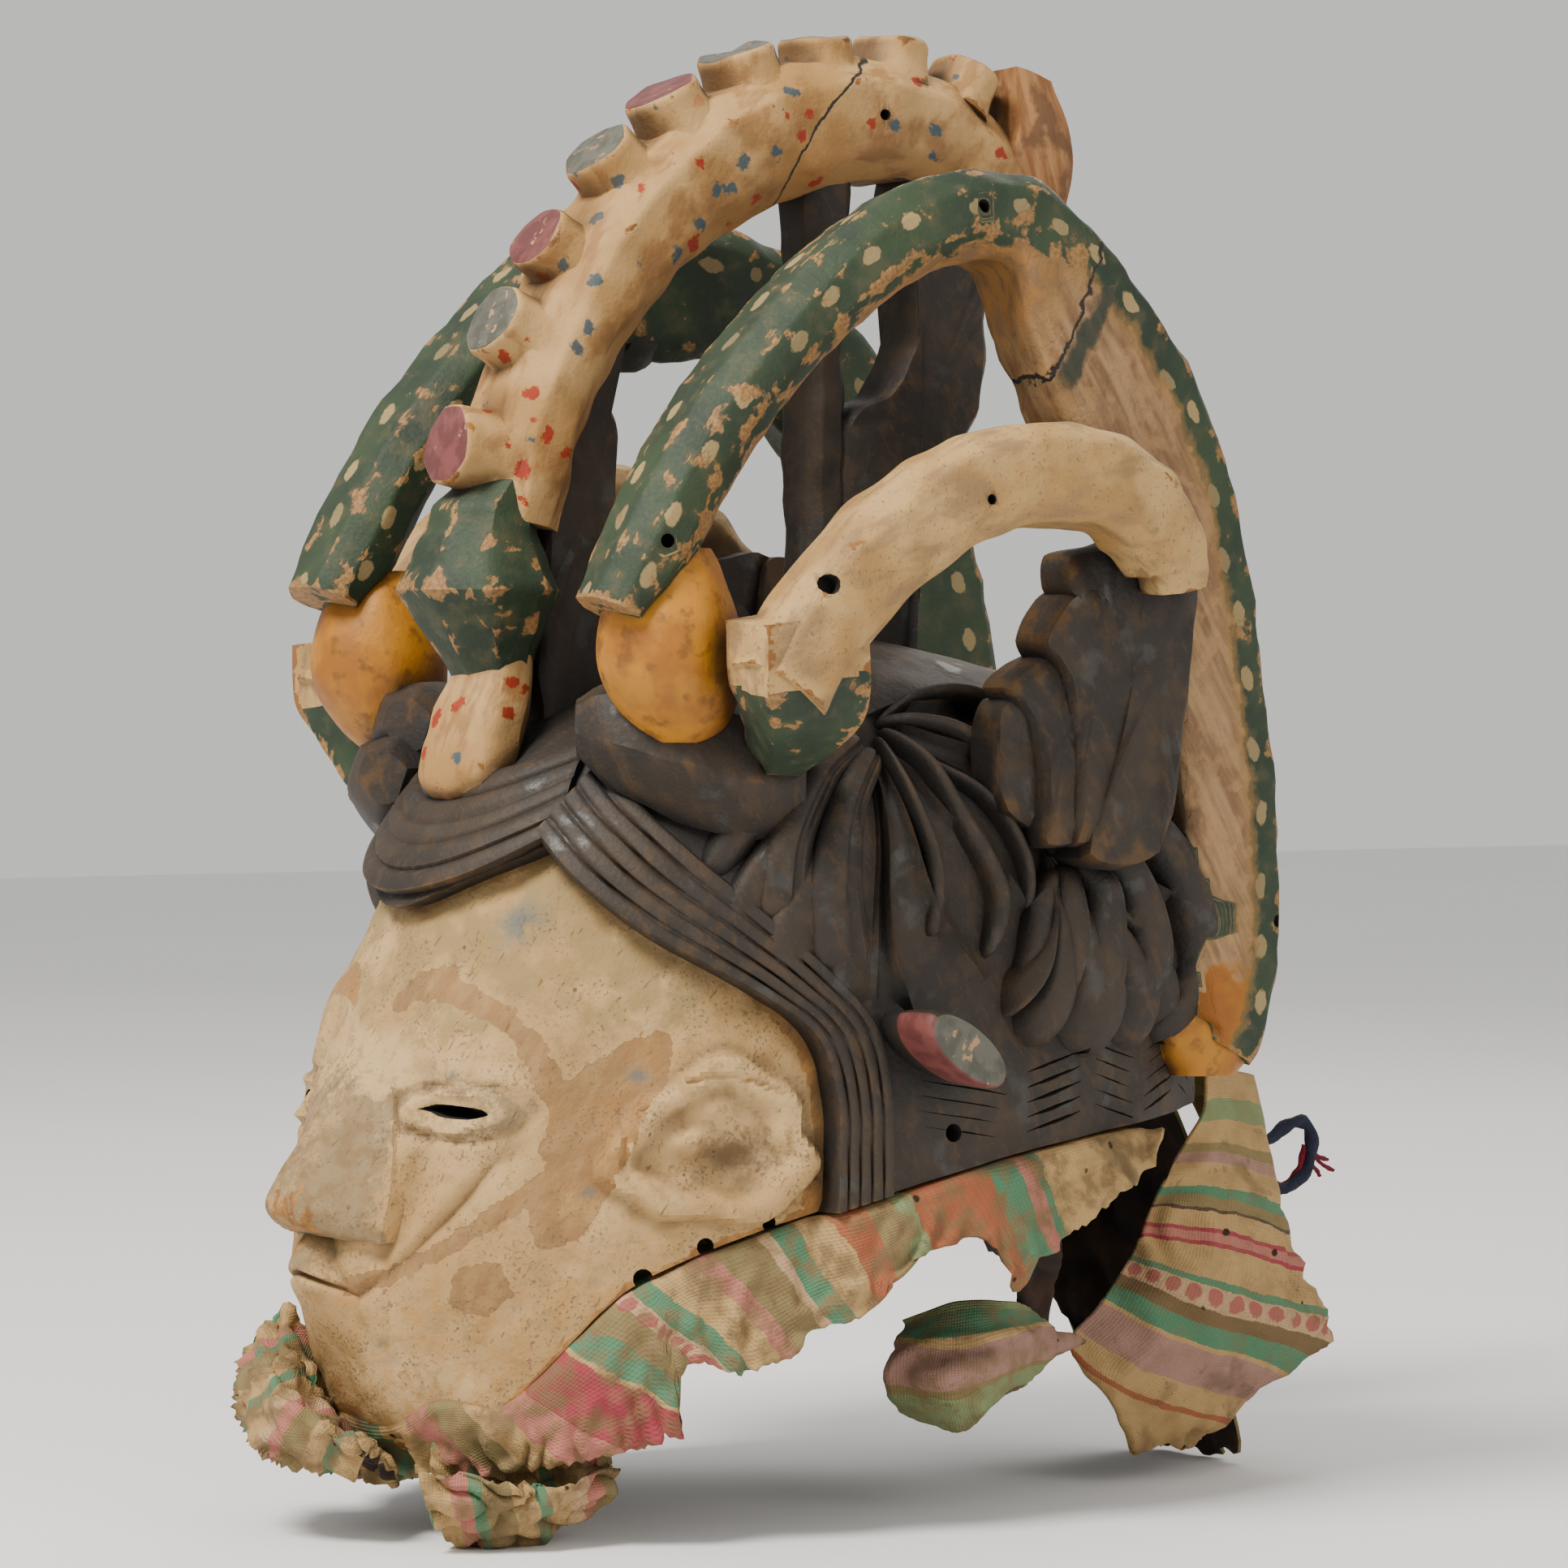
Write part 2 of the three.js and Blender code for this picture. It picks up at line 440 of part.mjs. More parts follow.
// Cloth collar: it comes out from under the wall of the head and hangs, reaching the floor in four places.
const rimAt = (y) => {
  let i = 0;
  while (i < RIM.length - 2 && RIM[i + 1][0] < y) {
    i += 1;
  }
  return RIM[i][1] + (RIM[i + 1][1] - RIM[i][1]) * (y - RIM[i][0]) / (RIM[i + 1][0] - RIM[i][0]);
};
// Rows of angle, lift and rise of the shoulder beside the rim, lift and height of the lower edge.
const SKIRT = [
  [-188, 14, 4, 38, 15, 0], [-180, 16, 2, 40, 15, 0], [-172, 12, 0, 36, 24, 0], [-160, 4, -3, 16, 80, 0],
  [-144, 3, -3, 10, 112, 0], [-128, 3, -3, 10, 118, 0], [-112, 3, -3, 8, 116, 0], [-96, 3, -3, 10, 106, 0],
  [-85, 3, -3, 12, 50, 0], [-77, 3, -3, 12, 15, 0], [-69, 3, -3, 14, 15, 0], [-60, 4, -3, 12, 54, 0],
  [-49, 4, -3, 12, 64, 0], [-39, 4, -3, 10, 56, 0], [-29, 4, -3, 8, 44, 0], [-19, 4, -3, 7, 36, 0],
  [-9, 4, -3, 6, 34, 0], [0, 4, -3, 5, 34, 0], [9, 4, -3, 6, 38, 0], [18, 5, -3, 8, 42, 0], [26, 5, -3, 9, 43, 0],
  [34, 4, -3, 9, 45, 0], [42, 4, -3, 9, 49, 0], [50, 4, -3, 9, 54, 0], [57, 3, -3, 7, 76, 0], [66, 3, -3, 9, 77, 0],
  [71, 3, -3, 8, 84, 0], [78, 3, -3, 7, 95, 0], [86, 3, -3, 6, 113, 0], [93, 4, -3, 8, 102, 0], [100, 5, -3, 7, 115, 0],
  [110, 5, -3, 7, 128, 0], [120, 4, -3, 6, 144, 0], [130, 5, -2, 6, 146, 0], [140, 8, 2, 8, 142, 0], [148, 14, 6, 14, 140, 0],
  [155, 18, 8, 18, 138, 0], [162, 18, 8, 18, 138, 0], [169, 16, 6, 18, 136, 0], [176, 14, 4, 18, 134, 0]];
// Loose sheets of the collar, each as rows of points from its upper edge to its lower one.
// The rear panel swings out from the nape and turns round behind.
const PANEL = [
  [[60, 142, 166], [54, 157, 166], [48, 173, 163], [18, 168, 163]], [[63, 138, 151], [61, 153, 151], [54, 174, 146], [16, 174, 148]],
  [[59, 129, 135], [64, 147, 135], [56, 177, 128], [14, 182, 130]], [[56, 121, 119], [67, 143, 117], [58, 183, 106], [12, 190, 108]],
  [[53, 117, 106], [69, 142, 101], [58, 192, 87], [10, 196, 88]], [[50, 112, 96], [67, 136, 85], [56, 203, 67], [8, 198, 68]],
  [[47, 103, 83], [62, 128, 68], [54, 178, 54], [10, 192, 54]], [[43, 94, 70], [55, 114, 54], [53, 159, 41], [14, 184, 40]],
  [[49, 109, 54], [52, 116, 37], [52, 140, 36], [30, 168, 32]], [[48, 114, 39], [50, 120, 30], [49, 133, 32], [38, 150, 30]]];
const LOOP = [
  [[54, 12, 85], [67, 25, 92], [76, 40, 92], [65, 62, 87]], [[59, 5, 78], [80, 14, 76], [85, 35, 80], [64, 68, 80]],
  [[59, 1, 67], [85, 10, 66], [85, 36, 71], [50, 96, 72]], [[56, 10, 55], [81, 18, 50], [80, 39, 61], [58, 77, 69]],
  [[46, 28, 58], [61, 35, 53], [67, 48, 61], [54, 75, 68]]];
// The tail comes out from inside the rim and holds the loop.
const TAIL = [
  [[100, 12, 122], [103, 26, 126], [106, 40, 130]], [[91, 20, 114], [94, 34, 116], [97, 48, 118]],
  [[82, 31, 110], [84, 44, 108], [86, 57, 106]], [[76, 45, 103], [72, 56, 98], [68, 67, 93]], [[67, 52, 90], [66, 60, 84], [64, 68, 78]]];
// The pouch is folded up under the chin and touches the floor.
const POUCH = [
  [[31, -164, 57], [42, -150, 52], [52, -132, 52], [60, -112, 54]], [[27, -162, 38], [36, -147, 32], [47, -126, 34], [56, -110, 43]],
  [[40, -163, 23], [49, -150, 20.6], [55, -134, 24], [59, -112, 36]], [[53, -179, 34], [63, -161, 30], [68, -143, 34], [66, -115, 40]],
  [[54, -184, 48], [66, -167, 45], [71, -146, 42], [67, -116, 46]]];
// The fold stands beside the jaw on the far side of the chin.
const FOLD = [
  [[-46, -156, 58], [-27, -161, 51], [-11, -163, 43], [10, -162, 39]], [[-46, -171, 90], [-26, -180, 75], [-8, -186, 62], [20, -176, 47]],
  [[-44, -184, 86], [-12, -202, 76], [8, -207, 65], [30, -190, 52]], [[-57, -185, 75], [-30, -203, 63], [-4, -207, 50], [22, -188, 43]],
  [[-64, -171, 74], [-47, -187, 60], [-20, -195, 46], [8, -180, 43]]];
const columns = 46;
const skirt = spline(SKIRT, columns);
const sheet = skirt.map(([a, lift, rise, swing, low, lean]) => {
  const spot = (h, above, tall, shift = 0) => {
    let p = skin(a + shift, 150, h);
    for (let k = 0; k < 4; k++) {
      p = skin(a + shift, rimAt(p.y), h);
    }
    return new THREE.Vector3(p.x, p.y, tall ?? rimAt(p.y) + above);
  };
  const hairy = Math.abs(a) > 76 ? HAIR_DEPTH : 0;
  const foot = Math.max(low, FLOOR);
  const flute = 2.2 * Math.sin(a * 0.5) + 1.2 * Math.sin(a * 1.1 + 2);
  const top = rimAt(skin(a, 150, lift).y) + rise;
  const mid = foot + (top - foot) * 0.45;
  const outer = [spot(-WALL - GAP, 9), spot(-WALL - GAP, -2.4), spot(hairy + 1.5, -2.4), spot(hairy + lift, rise), spot(hairy + (lift + swing) / 2 + flute, 0, mid, lean / 2),
    spot(hairy + swing + flute, 0, foot, lean)];
  const inner = [spot(-WALL - GAP - CLOTH, 9), spot(-WALL - GAP - CLOTH, -2.4 - CLOTH), spot(hairy + 1, -3 - CLOTH),
    spot(hairy + lift - CLOTH * 0.8, rise - CLOTH),
    spot(hairy + (lift + swing) / 2 + flute - CLOTH, 0, mid, lean / 2), spot(hairy + swing + flute - CLOTH, 0, foot, lean)];
  return [...outer, ...inner.reverse()];
});

// Sheet of cloth read smoothly through its rows both ways, with an even thickness.
function draped(rows, down, over) {
  const grid = spline(rows.map((row) => row.flat()), down).map((flat) => {
    const points = [];
    for (let k = 0; k < flat.length; k += 3) {
      points.push(flat.slice(k, k + 3));
    }
    return spline(points, over).map((p) => new THREE.Vector3(...p));
  });
  const at = (i, j) => grid[Math.min(Math.max(i, 0), down)][Math.min(Math.max(j, 0), over)];
  const offset = (h) => grid.map((line, i) => line.map((p, j) => {
    const out = new THREE.Vector3().crossVectors(at(i + 1, j).clone().sub(at(i - 1, j)), at(i, j + 1).clone().sub(at(i, j - 1)));
    return p.clone().addScaledVector(out.normalize(), h);
  }));
  return slab(offset(CLOTH / 2), offset(-CLOTH / 2));
}

function mesh(body, name, colour, roughness, metalness) {
  const data = body.getMesh();
  const geometry = new THREE.BufferGeometry();
  const xyz = new Float32Array(data.vertProperties.length / data.numProp * 3);
  for (let i = 0; i < xyz.length / 3; i++) {
    xyz.set(data.vertProperties.slice(i * data.numProp, i * data.numProp + 3), 3 * i);
  }
  geometry.setAttribute('position', new THREE.BufferAttribute(xyz, 3));
  geometry.setIndex([...data.triVerts]);
  const out = new THREE.Mesh(geometry, new THREE.MeshStandardMaterial({ color: colour, roughness, metalness, flatShading: true }));
  out.name = name;
  return out;
}

const sheets = [loft(sheet), draped(PANEL, 9, 5), draped(LOOP, 6, 5), draped(TAIL, 4, 2), draped(POUCH, 7, 4), draped(FOLD, 6, 5)];
// The wood is taken out of the cloth together with a hair's breadth on every side of it.
const AIR = [[0, 0, 0], [0, 0.4, -0.4], [0.4, 0, -0.2], [-0.4, 0, -0.2], [0, -0.4, 0]];
const collar = AIR.reduce((body, shift) => body.subtract(mask.translate(shift)), joined(sheets).simplify(0.25));
const group = new THREE.Group();
group.name = 'maiden_spirit_helmet_mask';
group.add(mesh(mask, 'carved_mask', 0x6b5a48, 0.8, 0));
group.add(mesh(collar, 'cloth_collar', 0xa8976f, 0.95, 0));
const box = new THREE.Box3().setFromObject(group);
group.children.forEach((child) => {
  child.geometry.translate(-(box.min.x + box.max.x) / 2, -(box.min.y + box.max.y) / 2, -box.min.z);
});

export default group;
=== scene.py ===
# %% [markdown]
# A carved helmet mask with an openwork crest and a torn cloth collar
#
# The mask is carved wood: a hollow head with a pale face, dark grooved hair and
# painted arches that stand over the crown. A strip of striped cloth is fixed
# round the lower rim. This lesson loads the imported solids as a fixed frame,
# carves a finer skin over them from the same named sizes, hangs the cloth, and
# then paints everything with node materials.

# %% Load the frame
import math

import bpy
import numpy as np
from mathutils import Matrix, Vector
from mathutils.bvhtree import BVHTree


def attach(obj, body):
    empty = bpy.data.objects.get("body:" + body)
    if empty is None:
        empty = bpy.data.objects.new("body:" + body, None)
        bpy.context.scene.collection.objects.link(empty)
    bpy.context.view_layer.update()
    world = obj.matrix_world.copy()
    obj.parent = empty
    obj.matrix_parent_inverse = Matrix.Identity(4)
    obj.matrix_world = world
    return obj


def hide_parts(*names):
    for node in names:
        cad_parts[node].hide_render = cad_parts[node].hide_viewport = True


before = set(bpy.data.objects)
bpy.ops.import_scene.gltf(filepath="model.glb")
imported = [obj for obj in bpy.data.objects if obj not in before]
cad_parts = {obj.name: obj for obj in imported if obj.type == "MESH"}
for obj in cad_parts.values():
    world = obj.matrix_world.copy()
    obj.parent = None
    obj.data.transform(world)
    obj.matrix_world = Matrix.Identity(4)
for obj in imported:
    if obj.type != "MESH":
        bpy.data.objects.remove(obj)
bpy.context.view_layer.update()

# %% [markdown]
# Units and place. The drawing is in millimetres with the head's own centre line
# at x = 0 and y = 0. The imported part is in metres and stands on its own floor,
# so every point goes through one small function before it becomes a mesh.

# %% Millimetres to the frame
MM = 0.001
DRAWING_ORIGIN = np.array([0.0, -1.8372, 19.4576])


def to_frame(points):
    return (np.asarray(points, float) - DRAWING_ORIGIN) * MM


print("the drawing's origin stands at", to_frame([0, 0, 0]).round(4))

# %% [markdown]
# The camera comes first. The photograph was taken from the mask's front left,
# level with the middle of the head, with a long lens that hardly shows any
# perspective. A 137 mm lens at 2.1 m gives the same outline.

# %% Camera
VIEW_AZIMUTH = math.radians(55.0)
VIEW_ELEVATION = math.radians(1.0)
VIEW_DISTANCE = 2100.0
VIEW_TARGET = np.array([0.0, 0.0, 270.0])
LENS = 136.95
SENSOR = 36.0


def placed(name, data):
    """A new object in the scene for a mesh, a light or a camera."""
    made = bpy.data.objects.new(name, data)
    bpy.context.scene.collection.objects.link(made)
    return made


towards = np.array([math.sin(VIEW_AZIMUTH) * math.cos(VIEW_ELEVATION),
                    -math.cos(VIEW_AZIMUTH) * math.cos(VIEW_ELEVATION), math.sin(VIEW_ELEVATION)])
camera_data = bpy.data.cameras.new("camera")
camera_data.lens = LENS
camera_data.sensor_width = SENSOR
camera = placed("camera", camera_data)
camera.location = Vector(to_frame(VIEW_TARGET + VIEW_DISTANCE * towards))
camera.rotation_mode = "QUATERNION"
camera.rotation_quaternion = Vector(-towards).to_track_quat("-Z", "Y")
bpy.context.scene.camera = camera
print("camera at", [round(v, 3) for v in camera.location])

# %% [markdown]
# Studio. The photograph has soft, open shadows on a pale ground. A single sun would
# make them hard, so one large soft light stands at the upper left of the camera,
# two weaker ones stand on the right and behind, and the world itself is bright.

# %% Floor and lights
floor_mesh = bpy.data.meshes.new("floor")
FLOOR = 6.0
floor_corners = [(-FLOOR, -FLOOR, 0), (FLOOR, -FLOOR, 0), (FLOOR, FLOOR, 0), (-FLOOR, FLOOR, 0)]
floor_mesh.from_pydata(floor_corners, [], [(0, 1, 2, 3)])
floor = placed("floor", floor_mesh)


def soft_light(name, azimuth, elevation, distance, size, watts):
    """Distance and size are in metres, and the angles are counted like the camera's."""
    data = bpy.data.lights.new(name, "AREA")
    data.shape = "DISK"
    data.size = size
    data.energy = watts
    data.color = LIGHT_COLOUR
    light = placed(name, data)
    a, e = math.radians(azimuth), math.radians(elevation)
    way = Vector((math.sin(a) * math.cos(e), -math.cos(a) * math.cos(e), math.sin(e)))
    light.location = Vector((0, 0, MIDDLE)) + way * distance
    light.rotation_mode = "QUATERNION"
    light.rotation_quaternion = (-way).to_track_quat("-Z", "Y")


LIGHT_COLOUR, MIDDLE = (1.0, 0.95, 0.88), 0.27
soft_light("key", 12, 50, 2.2, 0.8, watts=78)
soft_light("fill", 100, 20, 2.4, 1.6, watts=15)
soft_light("back", 215, 40, 2.4, 1.4, watts=16)
world = bpy.data.worlds.new("studio")
bpy.context.scene.world = world
world.use_nodes = True
sky = world.node_tree.nodes["Background"].inputs
sky["Color"].default_value = (1.0, 0.99, 0.97, 1)
sky["Strength"].default_value = 0.72
print("studio ready, floor", 2 * FLOOR, "m wide")

# %% [markdown]
# Named sizes. These are the same values that the solids were made from, so the
# fine skin lies on them: the head read at heights from chin to crown, the rim,
# the hairline and the paths of all the arches.

# %% Sizes of the carving
HEAD_Z = np.array([30, 46, 55, 67, 89, 110, 130, 150, 170, 190, 210, 233, 250, 270, 290, 305, 314.0])
# half width, and reach in front of and behind the middle, at each of those heights
HEAD_SIDE = np.array([97, 99, 100, 100, 100, 100, 101, 101, 101, 100, 99, 97, 94, 86, 70, 46, 14.0])
HEAD_FRONT = np.array([146, 158, 168, 175, 184, 188, 187, 184, 179, 171, 162, 151, 140, 124, 97, 62, 18.0])
HEAD_REAR = np.array([140, 140, 140, 140, 140, 141, 143, 146, 149, 151, 152, 150, 146, 135, 112, 74, 22.0])
SQUARENESS = 2.25
HAIR_DEPTH = 8.0
WALL = 16.0
# outlines seen from the side as y, z, and seen from the front as x, z
RIM = [[-230, 44], [-168, 45], [-160, 54], [-152, 66], [-137, 87], [-122, 104], [-98, 116], [-60, 128],
       [0, 142], [50, 150], [110, 155], [200, 160]]
HAIRLINE_SIDE = [[-113, 253], [-104, 233], [-83, 212], [-66, 195], [-56, 182], [-50, 167], [-50, 145], [-58, 122]]
TONGUE_EDGE = [[-54, 253], [-40, 245], [-24, 237], [-8, 231], [8, 231], [24, 237], [40, 245], [54, 253]]
# stations of the paths: x, y, z, width, depth and, but for the crest, the cut of the corners
CREST = [
    [0, -130, 362, 38, 30], [0, -123, 398, 42, 32], [0, -109, 430, 43, 33], [0, -89, 462, 44, 36],
    [0, -63, 490, 44, 40], [0, -30, 512, 44, 44], [0, 2, 523, 44, 45], [0, 35, 525, 44, 42],
    [0, 66, 518, 42, 38], [0, 92, 500, 38, 34], [0, 104, 484, 34, 30]]
# knobs on the crest: y, z, length, width and height
KNOBS = [
    [-126, 384, 29, 30, 14], [-111, 424, 27, 30, 12], [-94, 452, 25, 27, 12], [-71, 481, 27, 30, 12],
    [-46, 500, 27, 32, 13], [-17, 515, 27, 32, 12], [14, 523, 26, 30, 10], [45, 524, 26, 32, 10],
    [74, 515, 24, 32, 11]]
GREEN_NEAR = [
    [87, -141, 334, 30, 22, 8], [88, -132, 352, 34, 27, 8], [88, -113, 384, 35, 27, 8], [88, -90, 413, 35, 27, 8],
    [88, -62, 441, 35, 28, 8], [88, -34, 463, 35, 29, 8], [88, -8, 475, 35, 30, 8], [88, 16, 479, 34, 31, 7],
    [89, 38, 475, 32, 36, 6], [90, 60, 460, 30, 48, 5], [91, 84, 435, 27, 58, 4], [91, 108, 403, 25, 58, 4],
    [91, 125, 360, 24, 50, 4], [91, 135, 305, 24, 46, 4], [91, 141, 260, 24, 46, 4], [91, 142, 218, 24, 44, 4],
    [91, 137, 184, 24, 34, 5], [90, 132, 172, 22, 26, 5]]
GREEN_FAR = [[-x, y - 4 if y < 0 else y * 1.18, z + (5 if y < 0 else -6), w,
              max(min(d, 48), 62 - abs(y + 10) * 0.42), cut] for x, y, z, w, d, cut in GREEN_NEAR]
BEIGE_NEAR = [
    [134, -110, 312, 28, 32, 7], [134, -96, 333, 29, 33, 7], [134, -76, 354, 30, 33, 7], [134, -52, 373, 30, 34, 7],
    [134, -28, 385, 30, 34, 7], [134, 2, 392, 30, 34, 7], [134, 36, 389, 30, 33, 7], [132, 62, 377, 28, 33, 7],
    [129, 80, 356, 24, 30, 6], [127, 84, 340, 18, 22, 5]]
print("head", HEAD_SIDE.max() * 2, "mm wide, crest", len(CREST), "stations")

# %% [markdown]
# Finishes are named here and painted at the end. Each carved piece is made with
# its own finish, and when the pieces are joined into one body the finishes stay
# on their faces, as paint does on a carving.

# %% Finishes by name
FINISHES = ["kaolin_face", "dark_hair", "green_paint", "crest_paint", "ochre_arch", "yellow_paint",
            "pink_cap", "grey_cap", "bare_wood", "dark_hollow"]
finish = {name: bpy.data.materials.new(name) for name in FINISHES}
print(len(finish), "finishes on the wood")

# %% [markdown]
# Curves and waves. Paths are given by a few stations and read as a smooth curve that
# goes through every one of them. A knife leaves shallow waves. A noise texture would
# need a modifier on every piece, so slow sine waves move the skin a little instead.

# %% Smooth paths and the knife's waves


def spline(a, b, c, d, t):
    """The curve from b, where t is 0, to c, where t is 1, on its way from a to d."""
    return 0.5 * (2 * b + (c - a) * t + (2 * a - 5 * b + 4 * c - d) * t ** 2 + (3 * b - a - 3 * c + d) * t ** 3)


def unit(vectors):
    return vectors / np.linalg.norm(vectors, axis=-1, keepdims=True)


def smooth(rows, steps):
    rows = np.array(rows, float)
    last = len(rows) - 1
    s = np.linspace(0, last, steps + 1)
    i = np.minimum(s.astype(int), last - 1)
    t = (s - i)[:, None]
    return spline(rows[np.maximum(i - 1, 0)], rows[i], rows[i + 1], rows[np.minimum(i + 2, last)], t)


def waves(points, length, seed, count=9):
    """Waves about length millimetres long and mostly within 1 of nought."""
    rng = np.random.default_rng(seed)
    ways = unit(rng.normal(size=(count, 3)))
    pace = 2 * math.pi / (length * rng.uniform(0.7, 1.6, count))
    phase = rng.uniform(0, 2 * math.pi, count)
    return np.sin(points @ (ways * pace[:, None]).T + phase).sum(-1) / count ** 0.5


def step(v, low, high):
    """0 below low, 1 above high and a soft step between them."""
    t = np.clip((v - low) / (high - low), 0, 1)
    return t * t * (3 - 2 * t)


def bump(v, wide):
    """A soft hill of height 1 over nought."""
    return np.exp(-(v / wide) ** 2)


somewhere = np.random.default_rng(1).normal(size=(500, 3)) * 80
print("wave height", round(float(np.abs(waves(somewhere, 20, 3)).max()), 2))

# %% [markdown]
# The head's skin. A point on it is named by an angle round the head, 0 in front
# and 90 at the near ear, and by its height. Lift moves it outwards. Most of the
# carving on the head is written as a lift over this one skin.

# %% Skin of the head


def profile(table, z):
    """A size of the head at any height, read smoothly from its table."""
    last = len(HEAD_Z) - 1
    h = np.clip(z, HEAD_Z[0], HEAD_Z[-1])
    i = np.clip(np.searchsorted(HEAD_Z, h, side="left") - 1, 0, last - 1)
    below, above = np.maximum(np.arange(last + 1) - 1, 0), np.minimum(np.arange(last + 1) + 1, last)
    rise = (table[above] - table[below]) / (HEAD_Z[above] - HEAD_Z[below])
    span = HEAD_Z[i + 1] - HEAD_Z[i]
    t = (h - HEAD_Z[i]) / span
    return ((2 * t ** 3 - 3 * t * t + 1) * table[i] + (t ** 3 - 2 * t * t + t) * rise[i] * span
            + (3 * t * t - 2 * t ** 3) * table[i + 1] + (t ** 3 - t * t) * rise[i + 1] * span)


def rounded(v):
    return np.sign(v) * np.abs(v) ** (2 / SQUARENESS)


def skin(angle, z, lift=0.0):
    """The point at an angle and a height, moved straight out from the skin by lift."""
    angle, z, lift = np.broadcast_arrays(np.asarray(angle, float), np.asarray(z, float), np.asarray(lift, float))
    a = np.radians(angle)
    depth = np.where(np.cos(a) > 0, profile(HEAD_FRONT, z), profile(HEAD_REAR, z))
    side = profile(HEAD_SIDE, z)
    x, y = side * rounded(np.sin(a)), -depth * rounded(np.cos(a))
    flat = np.hypot(x / side, y / depth)
    out = unit(np.stack([x / side / side / flat, y / depth / depth / flat, np.zeros_like(x)], -1))
    slope = (profile(HEAD_SIDE, z + 3) - profile(HEAD_SIDE, z - 3)) / 6
    out[..., 2] = np.clip(-slope, -0.6, 4)
    return np.stack([x, y, z], -1) + unit(out) * lift[..., None]


def shell(angle, z, grow):
    """A skin that is grown by the same amount to every side, without tilting."""
    a = np.radians(angle)
    side, front, rear = (np.maximum(profile(t, z) + grow, 2) for t in (HEAD_SIDE, HEAD_FRONT, HEAD_REAR))
    depth = np.where(np.cos(a) > 0, front, rear)
    return np.stack(np.broadcast_arrays(side * rounded(np.sin(a)), -depth * rounded(np.cos(a)), z), -1)


print("ear point", skin(62, 152).round(1))

# %% [markdown]
# Closed bodies. Joining needs closed bodies with their faces outwards. Edit mode has
# an operator for that, but measuring the volume and turning the faces if it comes out
# negative needs no mode. A loft lays a skin through a row of rings.

# %% Bodies and lofts


def around(count):
    """Angles that share out a full turn."""
    return np.linspace(0, 2 * math.pi, count, endpoint=False)


def body(name, points, faces, paint, face_paint=None):
    points = np.asarray(points, float)
    volume = 0.0
    for size in {len(f) for f in faces}:
        f = points[np.array([g for g in faces if len(g) == size])]
        for i in range(1, size - 1):
            volume += float((f[:, 0] * np.cross(f[:, i], f[:, i + 1])).sum())
    if volume < 0:
        faces = [f[::-1] for f in faces]
    data = bpy.data.meshes.new(name)
    data.from_pydata(to_frame(points).tolist(), [], faces)
    for paint_name in ([paint] if isinstance(paint, str) else paint):
        data.materials.append(finish[paint_name])
    if face_paint is not None:
        data.polygons.foreach_set("material_index", np.asarray(face_paint, np.int32))
    data.update()
    return placed(name, data)


def loft(name, rings, paint, ring_paint=None):
    """ring_paint tells the finish from how far along and how far round a face lies, both 0 to 1."""
    rings = np.asarray(rings, float)
    count, sides = rings.shape[:2]
    points = np.concatenate([rings.reshape(-1, 3), rings[0].mean(0)[None], rings[-1].mean(0)[None]])
    i, j = np.meshgrid(np.arange(count - 1), np.arange(sides), indexing="ij")
    a, b = i * sides + j, i * sides + (j + 1) % sides
    faces = np.stack([a, b, b + sides, a + sides], -1).reshape(-1, 4).tolist()
    ring = np.arange(sides)
    after, low, high = (ring + 1) % sides, count * sides, count * sides + 1
    top = (count - 1) * sides
    faces += np.stack([np.full(sides, low), after, ring], -1).tolist()
    faces += np.stack([np.full(sides, high), top + ring, top + after], -1).tolist()
    painted = None
    if ring_paint is not None:
        painted = [ring_paint(p / (count - 1), q / sides) for p in range(count - 1) for q in range(sides)]
        painted += [ring_paint(end, q / sides) for end in (0, 1) for q in range(sides)]
    return body(name, points, faces, paint, painted)


print("a body's finish is one of", ", ".join(finish))

# %% [markdown]
# Patches and prisms. Carving in low relief could be a displaced copy of the skin, but
# a patch that lies on it, with its underside sunk in the wood, gets its points where
# its grooves are. A prism is an outline pushed straight through the head.

# %% Relief patches and prisms


def sheet_faces(rows, cols):
    """Faces of a grid, of a second grid under it and of the edge between them."""
    index = np.arange(rows * cols).reshape(rows, cols)
    under = index + rows * cols
    front = np.stack([index[:-1, :-1], index[1:, :-1], index[1:, 1:], index[:-1, 1:]], -1).reshape(-1, 4)
    back = np.stack([under[:-1, :-1], under[:-1, 1:], under[1:, 1:], under[1:, :-1]], -1).reshape(-1, 4)
    edge = np.concatenate([index[0, :-1], index[:-1, -1], index[-1, :0:-1], index[:0:-1, 0]])
    after = np.roll(edge, -1)
    return front, back, np.stack([edge, after, after + rows * cols, edge + rows * cols], -1)


def relief(name, angle, z, lift, sunk=-4.0):
    points = np.concatenate([skin(angle, z, lift).reshape(-1, 3), skin(angle, z, sunk).reshape(-1, 3)])
    return body(name, points, np.concatenate(sheet_faces(*angle.shape)).tolist(), "dark_hair")


def prism(name, outline, axis, low, high, paint):
    """axis is 0 for an outline seen from the side and 1 for one seen from the front."""
    outline = np.asarray(outline, float)
    n = len(outline)
    ends = []
    for v in (low, high):
        third = np.full(n, float(v))
        ends.append(np.stack([third, outline[:, 0], outline[:, 1]] if axis == 0
                             else [outline[:, 0], third, outline[:, 1]], -1))
    faces = [list(range(n)), list(range(2 * n - 1, n - 1, -1))]
    faces += [[j, j + n, (j + 1) % n + n, (j + 1) % n] for j in range(n)]
    return body(name, np.concatenate(ends), faces, paint)


print("a patch of 3 by 3 points has", sum(map(len, sheet_faces(3, 3))), "faces")

